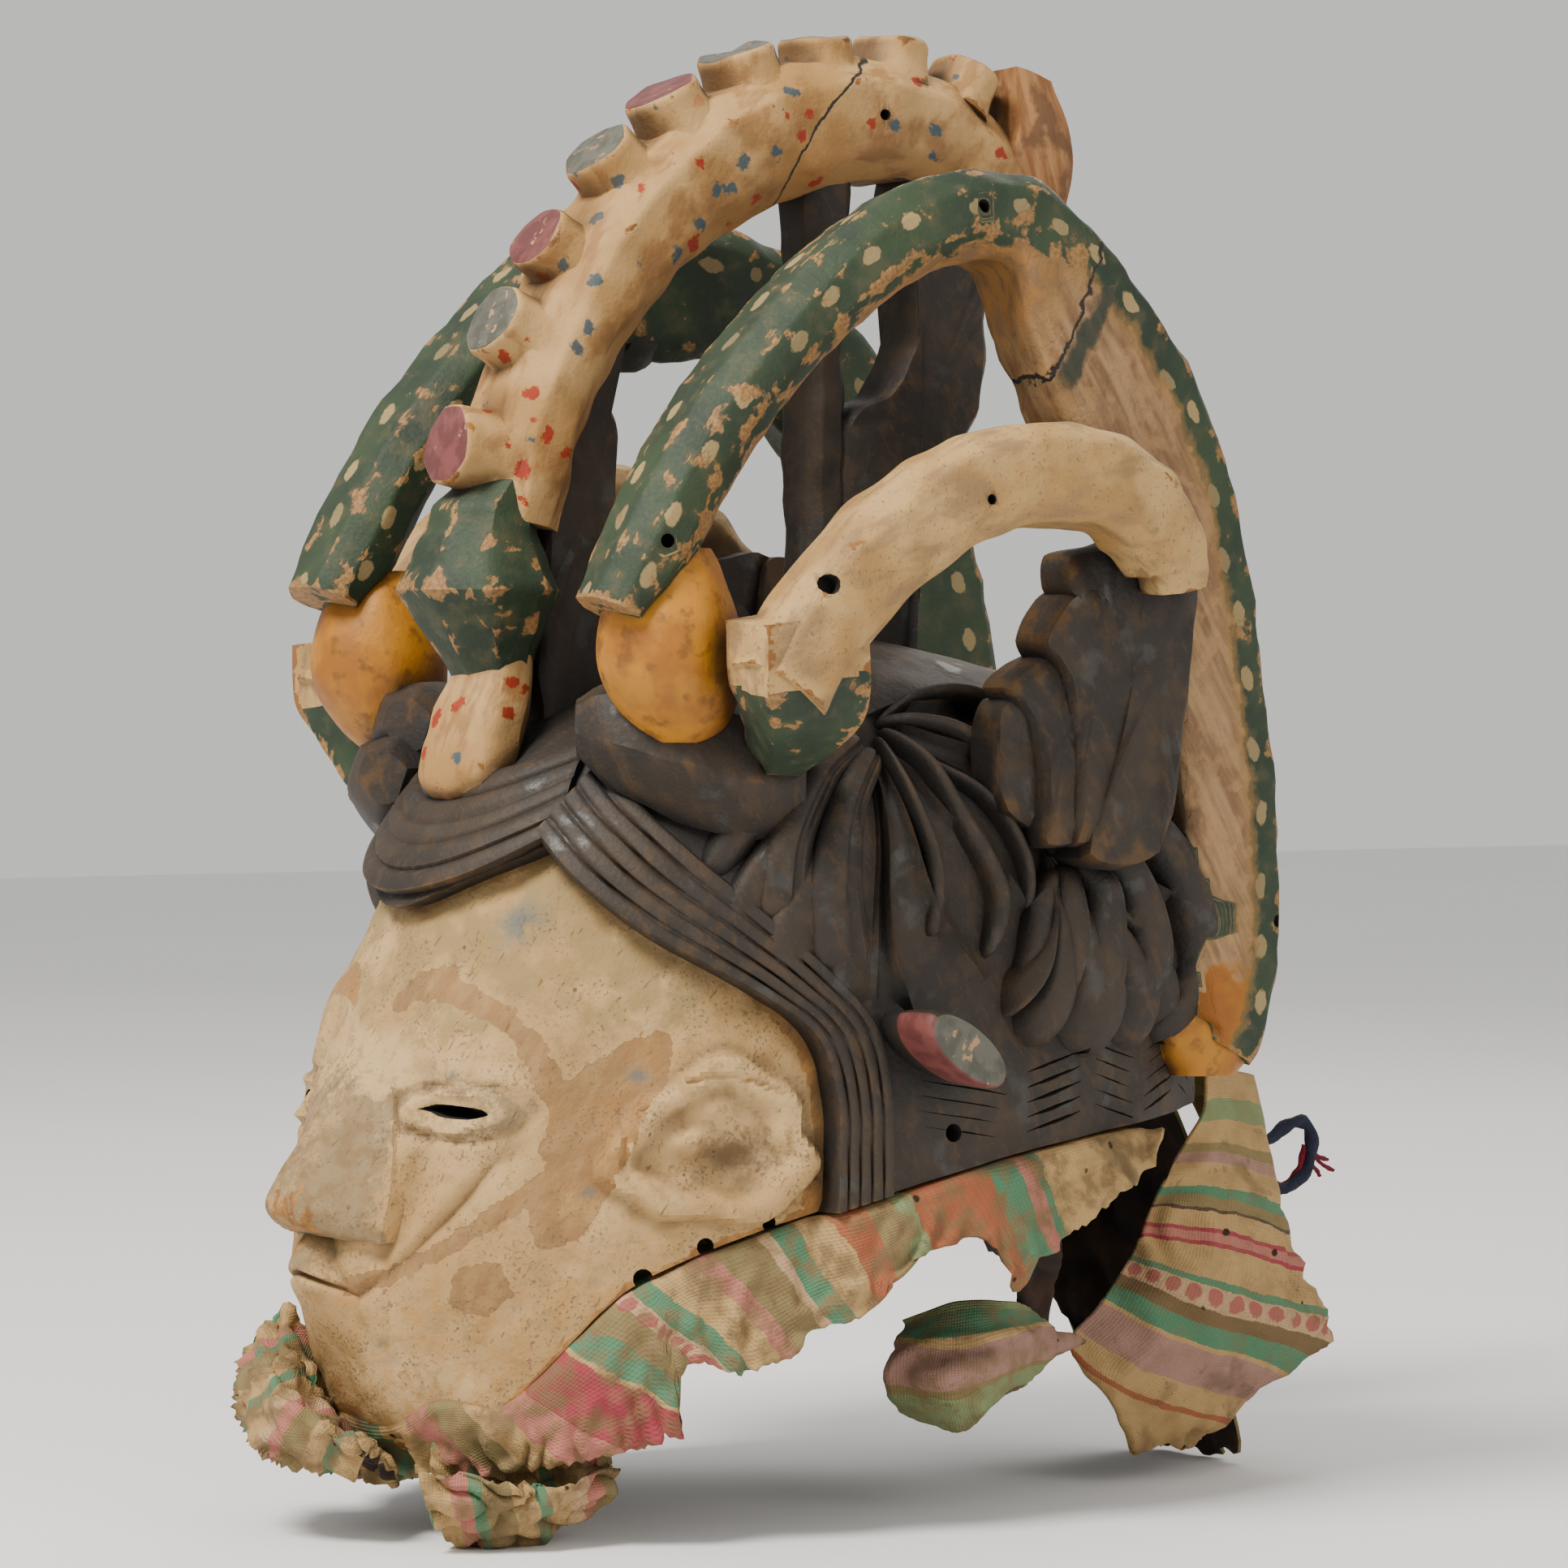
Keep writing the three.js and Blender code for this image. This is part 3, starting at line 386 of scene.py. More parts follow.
# %% [markdown]
# Bars. An arch is a bar with cut corners. A curve with a bevel shape would turn about
# its path by rules of its own, so the section is placed by hand. Each vertex keeps
# three numbers for the paint: how far along, how far across and how far in it lies.

# %% Bars along a path
ROUNDING = 0.35
START = 10  # what along counts at the start of a bar


def store(piece, name, values):
    """Keep one number per vertex with the mesh, for the paint to read."""
    layer = piece.data.attributes.get(name) or piece.data.attributes.new(name, "FLOAT", "POINT")
    layer.data.foreach_set("value", np.asarray(values, np.float32))


def bar_section(wide, deep, cut):
    w, d, c = wide / 2, deep, cut
    corners = np.array([[-w, -c], [-w + c, 0], [w - c, 0], [w, -c], [w, c - d], [w - c, -d], [c - w, -d], [-w, c - d]])
    after, before = np.roll(corners, -1, 0), np.roll(corners, 1, 0)
    near, far = corners + (before - corners) * ROUNDING * 0.3, corners + (after - corners) * ROUNDING * 0.3
    middle = corners * 0.5 + (near + far) * 0.25
    half = (far + np.roll(near, -1, 0)) / 2
    return np.stack([near, middle, far, half], 1).reshape(-1, 2)


def bar(name, rows, steps, paint, lean, rough, seed):
    path = smooth(rows, steps)
    along = unit(np.gradient(path[:, :3], axis=0))
    across = unit(np.array([1.0, 0, 0]) - along * along[:, :1])
    across = across * math.cos(lean) + np.cross(along, across) * math.sin(lean)
    out = np.cross(across, along)
    sections = np.array([bar_section(*row[3:6]) for row in path])
    rings = path[:, None, :3] + sections[..., :1] * across[:, None] + sections[..., 1:] * out[:, None]
    calm_ends = np.sin(np.linspace(0.25, 2.9, steps + 1))[:, None, None] ** 0.3
    rings += unit(rings - rings.mean(1, keepdims=True)) * (waves(rings, 16, seed) * rough)[..., None] * calm_ends
    made = loft(name, rings, paint)
    length = np.concatenate([[0], np.cumsum(np.linalg.norm(np.diff(path[:, :3], axis=0), axis=1))]) + START
    store(made, "along", [*np.repeat(length, rings.shape[1]), length[0], length[-1]])
    store(made, "across", [*sections[..., 0].ravel(), 0, 0])
    store(made, "inward", [*-sections[..., 1].ravel(), path[0, 4] / 2, path[-1, 4] / 2])
    return made


print("a section has", len(bar_section(30, 30, 8)), "points")

# %% [markdown]
# Mirroring and joining. The photograph shows one side only, so most pieces of the far
# side are mirrored copies. Joining and cutting are Booleans. The manifold solver is
# the fastest with closed bodies, and each body's finish stays on its faces.

# %% Mirroring and joining
SOLVER = "MANIFOLD"


def read(layer, name, size, kind=float):
    """One field of a mesh as an array, a row for each vertex or edge."""
    values = np.zeros(len(layer) * size, kind)
    layer.foreach_get(name, values)
    return values.reshape(-1, size)


def mirrored(piece, name, shift=(0, 0, 0)):
    data = piece.data.copy()
    data.vertices.foreach_set("co", (read(data.vertices, "co", 3) * (-1, 1, 1) + np.asarray(shift) * MM).ravel())
    data.flip_normals()
    return placed(name, data)


def combine(base, tools, operation="UNION"):
    for tool in tools:
        step_made = base.modifiers.new(tool.name, "BOOLEAN")
        step_made.object = tool
        step_made.operation = operation
        step_made.solver = SOLVER
        step_made.material_mode = "TRANSFER"
    made = bpy.data.meshes.new_from_object(base.evaluated_get(bpy.context.evaluated_depsgraph_get()))
    base.modifiers.clear()
    base.data = made
    for tool in tools:
        bpy.data.objects.remove(tool)


print("bodies are joined by the", SOLVER, "solver")

# %% [markdown]
# The face. It is calm and smooth: a domed patch round each narrow eye, a crease from
# the cheek to the mouth and a round ear with a rolled edge. Sculpting by hand could
# make them, but couldn't be read or changed as a lesson. Each of them is a soft hill
# or valley, so it is written as a formula of the angle and the height.

# %% Lines on the face
PACE = 1.9  # millimetres on the side of the head to one degree


def path_distance(angle, z, path, steps=40):
    """How far points lie from a path on the skin, and next to which share of it."""
    line = smooth(path, steps)
    flat = np.stack([angle * PACE, z], -1)
    best = np.full(angle.shape, 1e9)
    place = np.zeros(angle.shape)
    for k in range(len(line) - 1):
        a, b = line[k, :2] * (PACE, 1), line[k + 1, :2] * (PACE, 1)
        t = np.clip(((flat - a) @ (b - a)) / max(float((b - a) @ (b - a)), 1e-9), 0, 1)
        gap = np.linalg.norm(flat - a - t[..., None] * (b - a), axis=-1)
        place = np.where(gap < best, (k + t) / (len(line) - 1), place)
        best = np.minimum(best, gap)
    return best, place


EYE, EYE_HALF = (25.0, 164.0), (19, 7.2)
EAR, EAR_HALF, EAR_PACE = (62.0, 152.0), (25, 27), 1.95
CHEEK_CREASE = [[36, 158], [31, 143], [27, 132], [20, 118], [12, 107], [6, 101]]
NOSE_FOOT = [[11, 192], [17, 176], [20, 162], [19.5, 146], [18, 130], [14, 116]]
BROW = [[3, 196], [10, 201], [20, 203], [30, 197], [37, 186], [41, 172], [43, 160]]
print("the cheek's crease is", len(CHEEK_CREASE), "points, the brow", len(BROW))

# %% [markdown]
# The relief is worked out once for the whole skull. A soft step fades a hill or a
# valley out. The ear is an uneven disc with a dish, two pits and three small hills.

# %% Relief of the face and the skull


def face_relief(angle, z):
    side = np.abs(angle)
    du, dz = (side - EYE[0]) * PACE, z - EYE[1]
    dome = np.sqrt((du - 4) ** 2 / 34 ** 2 + (dz - 12) ** 2 / 29 ** 2)
    lift = 3.2 * (1 - step(dome, 0.55, 1.04))
    lens = np.sqrt((du / EYE_HALF[0]) ** 2 + (dz / EYE_HALF[1]) ** 2)
    lift = lift - 1.6 * bump(lens - 1.28, 0.2) + 1.5 * bump(lens - 0.86, 0.2) - 1.2 * (1 - step(lens, 0.3, 0.7))
    foot, at = path_distance(side, z, NOSE_FOOT)
    lift -= 6.0 * bump(foot, 6.5) * step(at, 0.0, 0.25)
    brow, at = path_distance(side, z, BROW)
    lift += 1.6 * bump(brow, 5) * step(1 - at, 0.0, 0.3)
    crease, at = path_distance(side, z, CHEEK_CREASE)
    inner = step(z - np.interp(side, *np.array(CHEEK_CREASE[::-1]).T), -1.6, 1.6)
    lift += (2.4 * inner * bump(crease, 20) - 1.7 * bump(crease, 2.6)) * step(at, 0.0, 0.25)
    eu, ez = (side - EAR[0]) * EAR_PACE, z - EAR[1]
    ring = np.sqrt((eu / EAR_HALF[0]) ** 2 + (ez / EAR_HALF[1]) ** 2)
    turn = np.arctan2(ez, eu)
    uneven = 1 + 0.10 * np.sin(turn * 3 + 0.6) + 0.05 * np.sin(turn * 7)
    lift += 7.2 * (1 - step(ring * uneven, 0.93, 1.02)) * (0.85 + 0.15 * np.cos(turn - 0.2))
    lift -= (6.0 * (1 - step(ring * uneven, 0.56, 0.76))
             + 4.6 * bump(np.hypot(eu - 3, ez + 5), 6.0) + 2.6 * bump(np.hypot(eu - 9, ez + 13), 4.5))
    lift -= 2.4 * bump(ring - 0.86, 0.03) * step(np.cos(turn - 2.2), -0.3, 0.4)
    lift += 7.0 * bump(np.hypot(eu + 5, ez - 2), 4.2) + 3.4 * bump(np.hypot(eu + 1, ez - 13), 5)
    lift += 2.8 * bump(np.hypot(eu + 9, ez + 14), 5)
    lift += 2.2 * bump(side, 26) * bump(z - 66, 22) - 1.8 * bump(side - 26, 14) * bump(z - 84, 18)
    return lift


skull_angles = np.concatenate([np.arange(-92, 92.1, 0.8), np.arange(95, 266, 3.0)])
skull_heights = np.concatenate([np.arange(30, 258, 1.5), np.arange(262, 313, 6.0), [314]])
A, Z = np.meshgrid(skull_angles, skull_heights)
turned_angle = np.where(A > 180, A - 360, A)
base = shell(A, Z, 0.0)
out = skin(A, Z, 1.0) - skin(A, Z, 0.0)
lift = face_relief(turned_angle, Z) * (1 - step(np.abs(turned_angle), 80, 96))
lift += 0.55 * waves(base, 24, 5) + 0.22 * waves(base, 9, 6)
skull = loft("skull", base + out * lift[..., None], "kaolin_face")
print("skull", len(skull.data.polygons), "faces")

# %% [markdown]
# The nose and the mouth stand out too far for a lift on the skin, so they are
# bodies of their own: a wedge with a narrow ridge, cut square below, and a low
# swelling with a slit across it. The eyes are slits that are cut right through.

# %% Nose, mouth and eye slits


def ring_through(corners, per_side, soft):
    """A smooth closed ring through a few corners."""
    corners = np.asarray(corners, float)
    n = len(corners)
    t = np.arange(n * per_side) / per_side
    i = t.astype(int)
    f = (t - i)[:, None]
    a, b, c, d = (corners[(i + k) % n] for k in (-1, 0, 1, 2))
    return (b + (c - b) * f) * (1 - soft) + spline(a, b, c, d, f) * soft


def stacked(rings, steps):
    """More rings between a few, on smooth curves through their corners."""
    rings = np.asarray(rings, float)
    shape = rings.shape
    return smooth(rings.reshape(shape[0], -1), steps).reshape(-1, *shape[1:])


NOSE = [
    [[-10, -155, 195], [10, -155, 195], [9, -166, 194], [4, -169, 193], [-4, -169, 193], [-9, -166, 194]],
    [[-24, -158, 174], [24, -158, 174], [23, -175, 174], [5, -181, 173], [-5, -181, 173], [-23, -175, 174]],
    [[-31, -158, 147], [31, -158, 147], [31, -180, 147], [7, -196, 149], [-7, -196, 149], [-31, -180, 147]],
    [[-32, -160, 130], [32, -160, 130], [32, -183, 130], [9, -205, 134], [-9, -205, 134], [-32, -183, 130]],
    [[-31, -160, 121], [31, -160, 121], [30, -184, 121], [10, -202, 126], [-10, -202, 126], [-30, -184, 121]],
    [[-30, -160, 119], [30, -160, 119], [27, -183, 120], [9, -193, 121], [-9, -193, 121], [-27, -183, 120]]]
nose_rings = np.array([ring_through(r, 7, 0.06) for r in stacked(NOSE, 44)])
nose = loft("nose", nose_rings + 0.35 * waves(nose_rings, 15, 8)[..., None], "kaolin_face")
# height, half width and how far it stands out, from the upper lip to the chin
MOUTH = [[127, 12, 15], [122, 17, 23.5], [115, 20, 28], [111, 22, 28.6], [109, 21.5, 24.8], [107, 22, 28],
         [99, 23, 23], [90, 24, 17], [80, 20, 10]]
mouth_rings = []
for z, wide, deep in smooth(MOUTH, 40):
    t = around(48)
    mouth_rings.append(np.stack([wide * np.cos(t), -171 - deep * np.sin(t) * (1 - 0.25 * np.cos(t) ** 2),
                                 z - 9.0 * np.abs(np.cos(t)) ** 1.4], -1))
mouth = loft("mouth", mouth_rings, "kaolin_face")
EYE_SLIT = [
    [[35, -200, 164.6], [39, -200, 166.2], [48, -198, 166.4], [57, -196, 165.2],
     [60, -196, 163.5], [54, -196, 161.8], [41, -200, 162.4]],
    [[33, -110, 164.6], [37, -110, 166.2], [46, -110, 166.4], [55, -110, 165.2],
     [58, -110, 163.5], [52, -110, 161.8], [39, -110, 162.4]]]
# The eye slits are painted nearly black, as shade.
eye_near = loft("eye_near", [ring_through(r, 3, 0.6) for r in stacked(EYE_SLIT, 4)], "dark_hollow")
eye_far = mirrored(eye_near, "eye_far")


print("nose", len(nose.data.polygons), "mouth", len(mouth.data.polygons))

# %% [markdown]
# Hair. A layer 8 mm thick covers the skull outside the bare face. The face's edge
# is one clean cut through that layer, made by two outlines: the hairline seen from
# the side and the tongue of hair seen from the front.

# %% Hair layer and its edge
hair_angles = np.arange(0, 360, 1.8)
hair_heights = np.concatenate([np.arange(70, 262, 3.0), np.arange(264, 313, 4.0), [314]])
A, Z = np.meshgrid(hair_angles, hair_heights)
rings = shell(A, Z, HAIR_DEPTH)
rings[..., 2] += np.maximum(Z - 260, 0) * 0.12
HAIR_MIDDLE, HAIR_REACH = (0, 0, 150), 170
uneven = 0.8 * waves(rings, 26, 11) + 0.3 * waves(rings, 10, 12)
rings += (rings - HAIR_MIDDLE) / HAIR_REACH * uneven[..., None]
hair = loft("hair", rings, "dark_hair")
side_edge = smooth(HAIRLINE_SIDE, 42)
front_edge = smooth(TONGUE_EDGE, 42)
side_outline = [[-240, 10], [-240, 262], [-113, 262], *side_edge.tolist(), [-58, 10]]
front_outline = [[-170, 10], [-170, 253], *front_edge.tolist(), [170, 253], [170, 10]]
face_side = prism("face_side", side_outline, 0, -160, 160, "dark_hair")
face_front = prism("face_front", front_outline, 1, -260, 60, "dark_hair")
combine(face_side, [face_front], "INTERSECT")
combine(hair, [face_side], "DIFFERENCE")
print("hair layer", len(hair.data.polygons), "faces")

# %% [markdown]
# Bands of grooves. Beside the face five ribs run from the temple down to the rim,
# and over the forehead they turn into nested tongues. Across a rib the lift is a
# rounded hump with a narrow valley at each side, as a gouge leaves it.

# %% Grooved bands


RIBS, VALLEY = 5, 0.16


def ribs(u, high):
    f = (u * RIBS) % 1.0
    hump = np.clip(np.minimum(f, 1 - f) / VALLEY, 0, 1)
    return high * (0.25 + 0.75 * np.sqrt(1 - (1 - hump) ** 2)) + 0.18 * high * np.sin(np.pi * f)


# angle, height and width
BAND = [[28, 264, 27], [37, 252, 27], [49, 236, 26], [60, 221, 25], [69.5, 205, 22], [76, 189, 17], [78.5, 168, 14],
        [79, 146, 14], [79, 126, 14]]
BAND_LIFT = 8.4
across = np.linspace(0, 1, 46)
path = smooth(BAND, 70)
turn = step(np.linspace(0, 8, 71), 2.0, 5.0)
s = (across[None, :] - 0.5) * path[:, 2:3]
band_angle = path[:, :1] + s * (0.27 + turn[:, None] * 0.19)
band_z = path[:, 1:2] + s * (0.86 - turn[:, None] * 0.72)
band_lift = BAND_LIFT + ribs(np.broadcast_to(across, s.shape) + 0.012 * np.sin(path[:, 1:2] * 0.09), 3.0)
band_lift = band_lift - 3.0 * (1 - step(np.minimum(across, 1 - across), 0, 0.03))
bands = [relief("band_near", band_angle, band_z, band_lift), relief("band_far", -band_angle, band_z, band_lift)]

s = np.linspace(-1, 1, 81)[:, None]
k = np.linspace(0, 1, 40)[None, :]
dip = (1 - np.abs(s) ** 1.7) * 20
tongue_angle = s * (29 - k * 3.5)
tongue_z = 253.5 + k * 27 - dip * (1 - k * 0.45)
tongue_lift = BAND_LIFT + ribs(np.broadcast_to(k, tongue_z.shape), 3.2) * (1 - 0.3 * np.abs(s) ** 6)
tongue = relief("tongue", tongue_angle, tongue_z, tongue_lift)
print("bands", len(bands[0].data.polygons), "tongue", len(tongue.data.polygons))

# %% [markdown]
# The two fans of hair over the ear. Each is drawn round its own centre: blades
# spread from it like the leaves of a palm, bend as they go, and meet in thin
# ridges. The forward blades are full lobes, the rear ones are hollowed. A fan could
# be many curves, but as one patch its blades meet without gaps.

# %% Fans
PER_BLADE, FAN_RINGS, FAN_PACE = 9, 18, 1.95


def fan(name, angle, z, ends, core, ridge, lobes, bend):
    ends = np.array(ends, float)
    blades = len(ends) - 1
    s = np.linspace(0, blades, blades * PER_BLADE + 1)
    at = np.minimum(s.astype(int), blades - 1)
    f = s - at
    du, dz = (ends[:, 0] - angle) * FAN_PACE, ends[:, 1] - z
    turn, reach = np.unwrap(np.arctan2(du, dz)), np.hypot(du, dz)
    turn_s = np.interp(s, np.arange(blades + 1), turn)
    reach_s = np.interp(s, np.arange(blades + 1), reach) * (1 + 0.10 * np.sin(np.pi * f))
    r = np.linspace(0.05, 1, FAN_RINGS)[:, None]
    way = turn_s[None, :] + bend * np.sin(np.pi * r * 0.9) * (0.6 + 0.4 * np.sin(s * 1.7))[None, :]
    lobe = np.interp(s, [0, blades * lobes, blades * lobes + 1, blades], [0.0, 0.0, 1.0, 1.0])[None, :]
    thin = np.exp(-np.minimum(f, 1 - f)[None, :] * (9 + 3 * r)) * (0.35 + 0.65 * r)
    hump = np.sqrt(np.clip(1 - (2 * f[None, :] - 1) ** 2, 0, 1)) * (0.3 + 0.7 * r)
    dome = np.sqrt(np.clip(1 - np.clip((r - 0.62) / 0.38, 0, 1) ** 2, 0, 1)) * (0.55 + 0.45 * step(r, 0, 0.4))
    lift = core * dome + ridge * dome * ((1 - lobe) * (thin - 0.25 * hump) + lobe * (hump * 1.15 - 0.3))
    away = reach_s[None, :] * r
    return relief(name, angle + np.sin(way) * away / FAN_PACE, z + np.cos(way) * away, lift, sunk=-5.0)


# angle and height of the ends of the ridges between the blades
FAN_FRONT = [[98, 292], [103, 276], [105, 252], [100, 224], [95, 202], [88, 190], [81, 191], [73, 204], [66, 216],
             [59, 234], [54, 256], [55, 272]]
FAN_REAR = [[124, 262], [133, 240], [132, 212], [128, 192], [118, 182], [109, 179], [101, 182], [94, 190], [92, 206]]
fans = [fan("fan_front", 79, 288, FAN_FRONT, core=11, ridge=6.5, lobes=0.52, bend=0.16),
        fan("fan_rear", 102, 248, FAN_REAR, core=17, ridge=7, lobes=0.3, bend=-0.22)]
fans += [mirrored(piece, piece.name + "_far") for piece in fans]
print("fans", [len(piece.data.polygons) for piece in fans])

# %% [markdown]
# Over the fans lie single locks. A lock is a patch that follows a path over the
# skin: its ends are rounded, its middle is a smooth hump, and a shallow groove runs
# along the broad ones beside the middle. Each row gives an angle, a height and a
# lift, and the two numbers after the rows are half the lock's width and its height.

# %% Locks over the fans
LOCKS = [
    ([[108, 253, 12], [114, 256, 20], [121, 243, 24], [127, 218, 24], [128, 196, 18], [124, 180, 10]], 8.5, 8.5),
    ([[107, 248, 12], [110, 246, 20], [114, 231, 22], [117, 209, 20], [115, 188, 12]], 7.5, 7.0),
    ([[106, 244, 12], [108, 235, 19], [108, 220, 20], [108, 202, 17], [106, 186, 10]], 7.0, 6.5),
    ([[104, 242, 12], [103, 229, 17], [103, 211, 17], [102, 193, 10]], 6.0, 6.0),
    ([[102, 241, 12], [99, 226, 15], [98, 210, 13], [96, 198, 9]], 5.0, 5.5),
    ([[78, 283, 10], [68, 279, 12], [61, 270, 12], [58, 251, 8]], 7.5, 8.0),
    ([[78, 280, 10], [70, 267, 14], [66, 248, 13], [67, 225, 7]], 8.5, 8.5),
    ([[80, 277, 10], [74, 259, 14], [73, 236, 13], [76, 207, 7]], 9.0, 8.5),
    ([[82, 285, 12], [89, 283, 16], [94, 277, 18], [101, 262, 16], [104, 242, 11]], 2.2, 5.0),
    ([[82, 283, 12], [87, 272, 16], [90, 253, 17], [93, 232, 16], [92, 212, 11]], 2.2, 5.0),
    ([[81, 281, 12], [84, 262, 15], [86, 241, 16], [86, 219, 12]], 2.0, 4.6),
    ([[82, 285, 12], [92, 291, 16], [101, 288, 18], [109, 274, 14]], 2.2, 4.6),
    ([[85, 276, 14], [93, 262, 17], [97, 244, 16], [98, 226, 11]], 1.7, 3.6)]


LOCK_STEPS, LOCK_OVER = 34, 15


def lock(name, rows, half, high):
    path = smooth(rows, LOCK_STEPS)
    way = unit(np.gradient(path[:, :2] * (PACE, 1), axis=0))
    t, s = np.linspace(-1, 1, LOCK_STEPS + 1)[:, None], np.linspace(-1, 1, LOCK_OVER)[None, :]
    end = np.sqrt(1 - np.clip((np.abs(t) - 0.72) / 0.28, 0, 1) ** 2) * 0.85 + 0.15
    wide = half * end * (0.78 + 0.22 * t)
    hump = high * end * (np.sqrt(np.clip(1 - s * s, 0, 1)) - 0.25 * bump(s - 0.35, 0.12) * (half > 4))
    angle, z = path[:, :1] - way[:, 1:] * s * wide / PACE, path[:, 1:2] + way[:, :1] * s * wide
    return relief(name, angle, z, path[:, 2:3] - 3 + hump, sunk=-3.0)


locks = [lock(f"lock_{k}", *row) for k, row in enumerate(LOCKS)]
locks += [mirrored(piece, piece.name + "_far") for piece in locks]
print("locks", len(locks))

# %% [markdown]
# A faceted roll of hair lies from the temple back. A smooth tube would lose the
# knife's facets, so it is a loft whose rings keep most of their corners.

# %% Temple rolls
# x, y, z, half width and half height
ROLL = [[54, -122, 292, 9, 10], [62, -112, 290, 18, 20], [78, -92, 284, 24, 26], [90, -74, 278, 20, 24],
        [96, -58, 274, 10, 14]]
FACETS = [[1, -0.2], [0.72, 0.62], [-0.2, 0.8], [-1, 0.2], [-0.6, -0.9], [0.25, -1]]


def roll_body(name):
    rings = []
    for x, y, z, a, b in smooth(ROLL, 22):
        rings.append(ring_through([[x + u * a * 0.8, y - u * a * 0.6, z + v * b] for u, v in FACETS], 6, 0.28))
    rings = np.array(rings)
    return loft(name, rings + waves(rings, 14, 21)[..., None] * (0.5, -0.4, 0.4), "dark_hair")


rolls = [roll_body("roll")]
rolls += [mirrored(rolls[0], "roll_far"), mirrored(rolls[0], "roll_far_low", (0, -10, -18))]
print("rolls", len(rolls))

# %% [markdown]
# The comb. Five flat blades overlap each other, each with its own outline seen from
# the side, so each one is that outline pushed sideways, a little smaller outside.

# %% Comb
BLADES = [
    [[40, 246], [70, 246], [84, 292], [90, 330], [88, 348], [76, 352], [64, 350], [60, 322], [54, 292]],
    [[44, 250], [62, 262], [70, 300], [74, 345], [62, 354], [50, 352], [34, 349], [33, 338], [42, 326], [46, 308],
     [46, 280]],
    [[36, 250], [58, 262], [62, 290], [62, 318], [54, 334], [42, 338], [32, 334], [24, 320], [32, 308], [36, 286]],
    [[26, 250], [52, 256], [52, 280], [48, 300], [42, 312], [34, 316], [22, 312], [12, 304], [20, 292], [24, 276]],
    [[14, 262], [44, 250], [42, 268], [38, 284], [34, 296], [26, 300], [14, 300], [10, 292]]]
BLADE_X = [[102, 124], [104, 121], [103, 124], [102, 120], [98, 116]]


def blade(name, outline, low, high):
    ring = ring_through(outline, 6, 0.75)
    centre = ring.mean(0)
    layers = [[low, 1.0], [low + (high - low) * 0.62, 1.0], [high - 2.5, 0.97], [high, 0.82]]
    rings = [np.column_stack([np.full(len(ring), x), centre + (ring - centre) * s]) for x, s in layers]
    rings = np.array(rings)
    rings[..., 0] += 0.8 * waves(rings, 18, 31) + 2.2 * np.sin(rings[..., 2] * 0.05 + low)
    return loft(name, rings, "dark_hair")


comb = [blade(f"comb_{k}", outline, *x) for k, (outline, x) in enumerate(zip(BLADES, BLADE_X))]
combine(comb[0], comb[1:])
comb_far = mirrored(comb[0], "comb_far")
print("comb", len(comb[0].data.polygons))

# %% [markdown]
# The oval knob behind the ear is grey outside, pink along one edge and dark elsewhere.
# A body for each colour would show a seam, so one loft has all three finishes.

# %% Ear knob
knob_rings = []
for x, s in smooth([[96, 0.7], [108, 0.84], [120, 0.96], [131, 1.0], [136, 0.97], [137.5, 0.9]], 14):
    t = around(40)
    u, v = 21 * s * np.cos(t), 9.5 * s * np.sign(np.sin(t)) * np.abs(np.sin(t)) ** 0.85
    knob_rings.append(np.stack([x - u * 0.12, -21 + u * 0.86 + v * 0.2, 184 - u * 0.48 + v * 0.9], -1))
ear_knob = loft("ear_knob", knob_rings, ["pink_cap", "grey_cap", "dark_hair"],
                lambda p, q: 1 if p >= 1 else (2 if p < 0.35 or 0.06 < q < 0.44 else 0))
ear_knob_far = mirrored(ear_knob, "ear_knob_far")
print("ear knob", len(ear_knob.data.polygons))

# %% [markdown]
# Rows of hatched cuts stand above the rear rim, slanting one way and then the other.
# A bump in the paint would look flat, so thin wedges are taken out of the hair.

# %% Hatched cuts
ROWS, PER_ROW = 7, 5


def cut(name, start, end, wide, deep, high=14.0):
    """A wedge-shaped cut between two points on the skin."""
    a = np.linspace(start[0], end[0], 5)
    z = np.linspace(start[1], end[1], 5)
    bottom, top = skin(a, z, HAIR_DEPTH - deep), skin(a, z, high)
    out = unit(top - bottom)
    sideways = np.cross(out, unit(np.gradient(bottom, axis=0)))
    taper = np.array([0.15, 0.8, 1, 0.8, 0.15])[:, None]
    half = sideways * wide * (taper + 0.6)
    return loft(name, np.stack([bottom + out * (1 - taper) * deep, top + half, top - half], 1), "dark_hair")


hatch = []
for side in (1, -1):
    for group in range(ROWS):
        centre = 90 + group * 12
        low = 148 + (centre - 84) * 0.17
        flip = 1 if group % 2 else -1
        for k in range(PER_ROW):
            up = low + 5 + k * 5
            start, end = (side * (centre - 4.6), up - 3 * flip), (side * (centre + 4.4), up + 3 * flip)
            hatch.append(cut(f"hatch_{side}_{group}_{k}", start, end, 1.5, 1.6))
print("cuts", len(hatch))

# %% [markdown]
# The openwork. Two green arches, two ochre side arches and the crest in the middle
# are bars with cut corners that follow their paths. The green arches carry paint
# on their outer faces only; the inner face and the rear boards are pale wood.

# %% Arches
green = bar("green_near", GREEN_NEAR, 120, "green_paint", -0.12, 0.7, 41)
green_far = bar("green_far", GREEN_FAR, 120, "green_paint", 0.12, 0.7, 42)
beige = bar("ochre_near", BEIGE_NEAR, 84, "ochre_arch", -0.10, 0.7, 43)
beige_far = mirrored(beige, "ochre_far", (0, -5, -5))
crest = bar("crest", [row + [9] for row in CREST], 110, "crest_paint", 0.0, 0.8, 44)
print("arches", [len(piece.data.polygons) for piece in (green, green_far, beige, crest)])

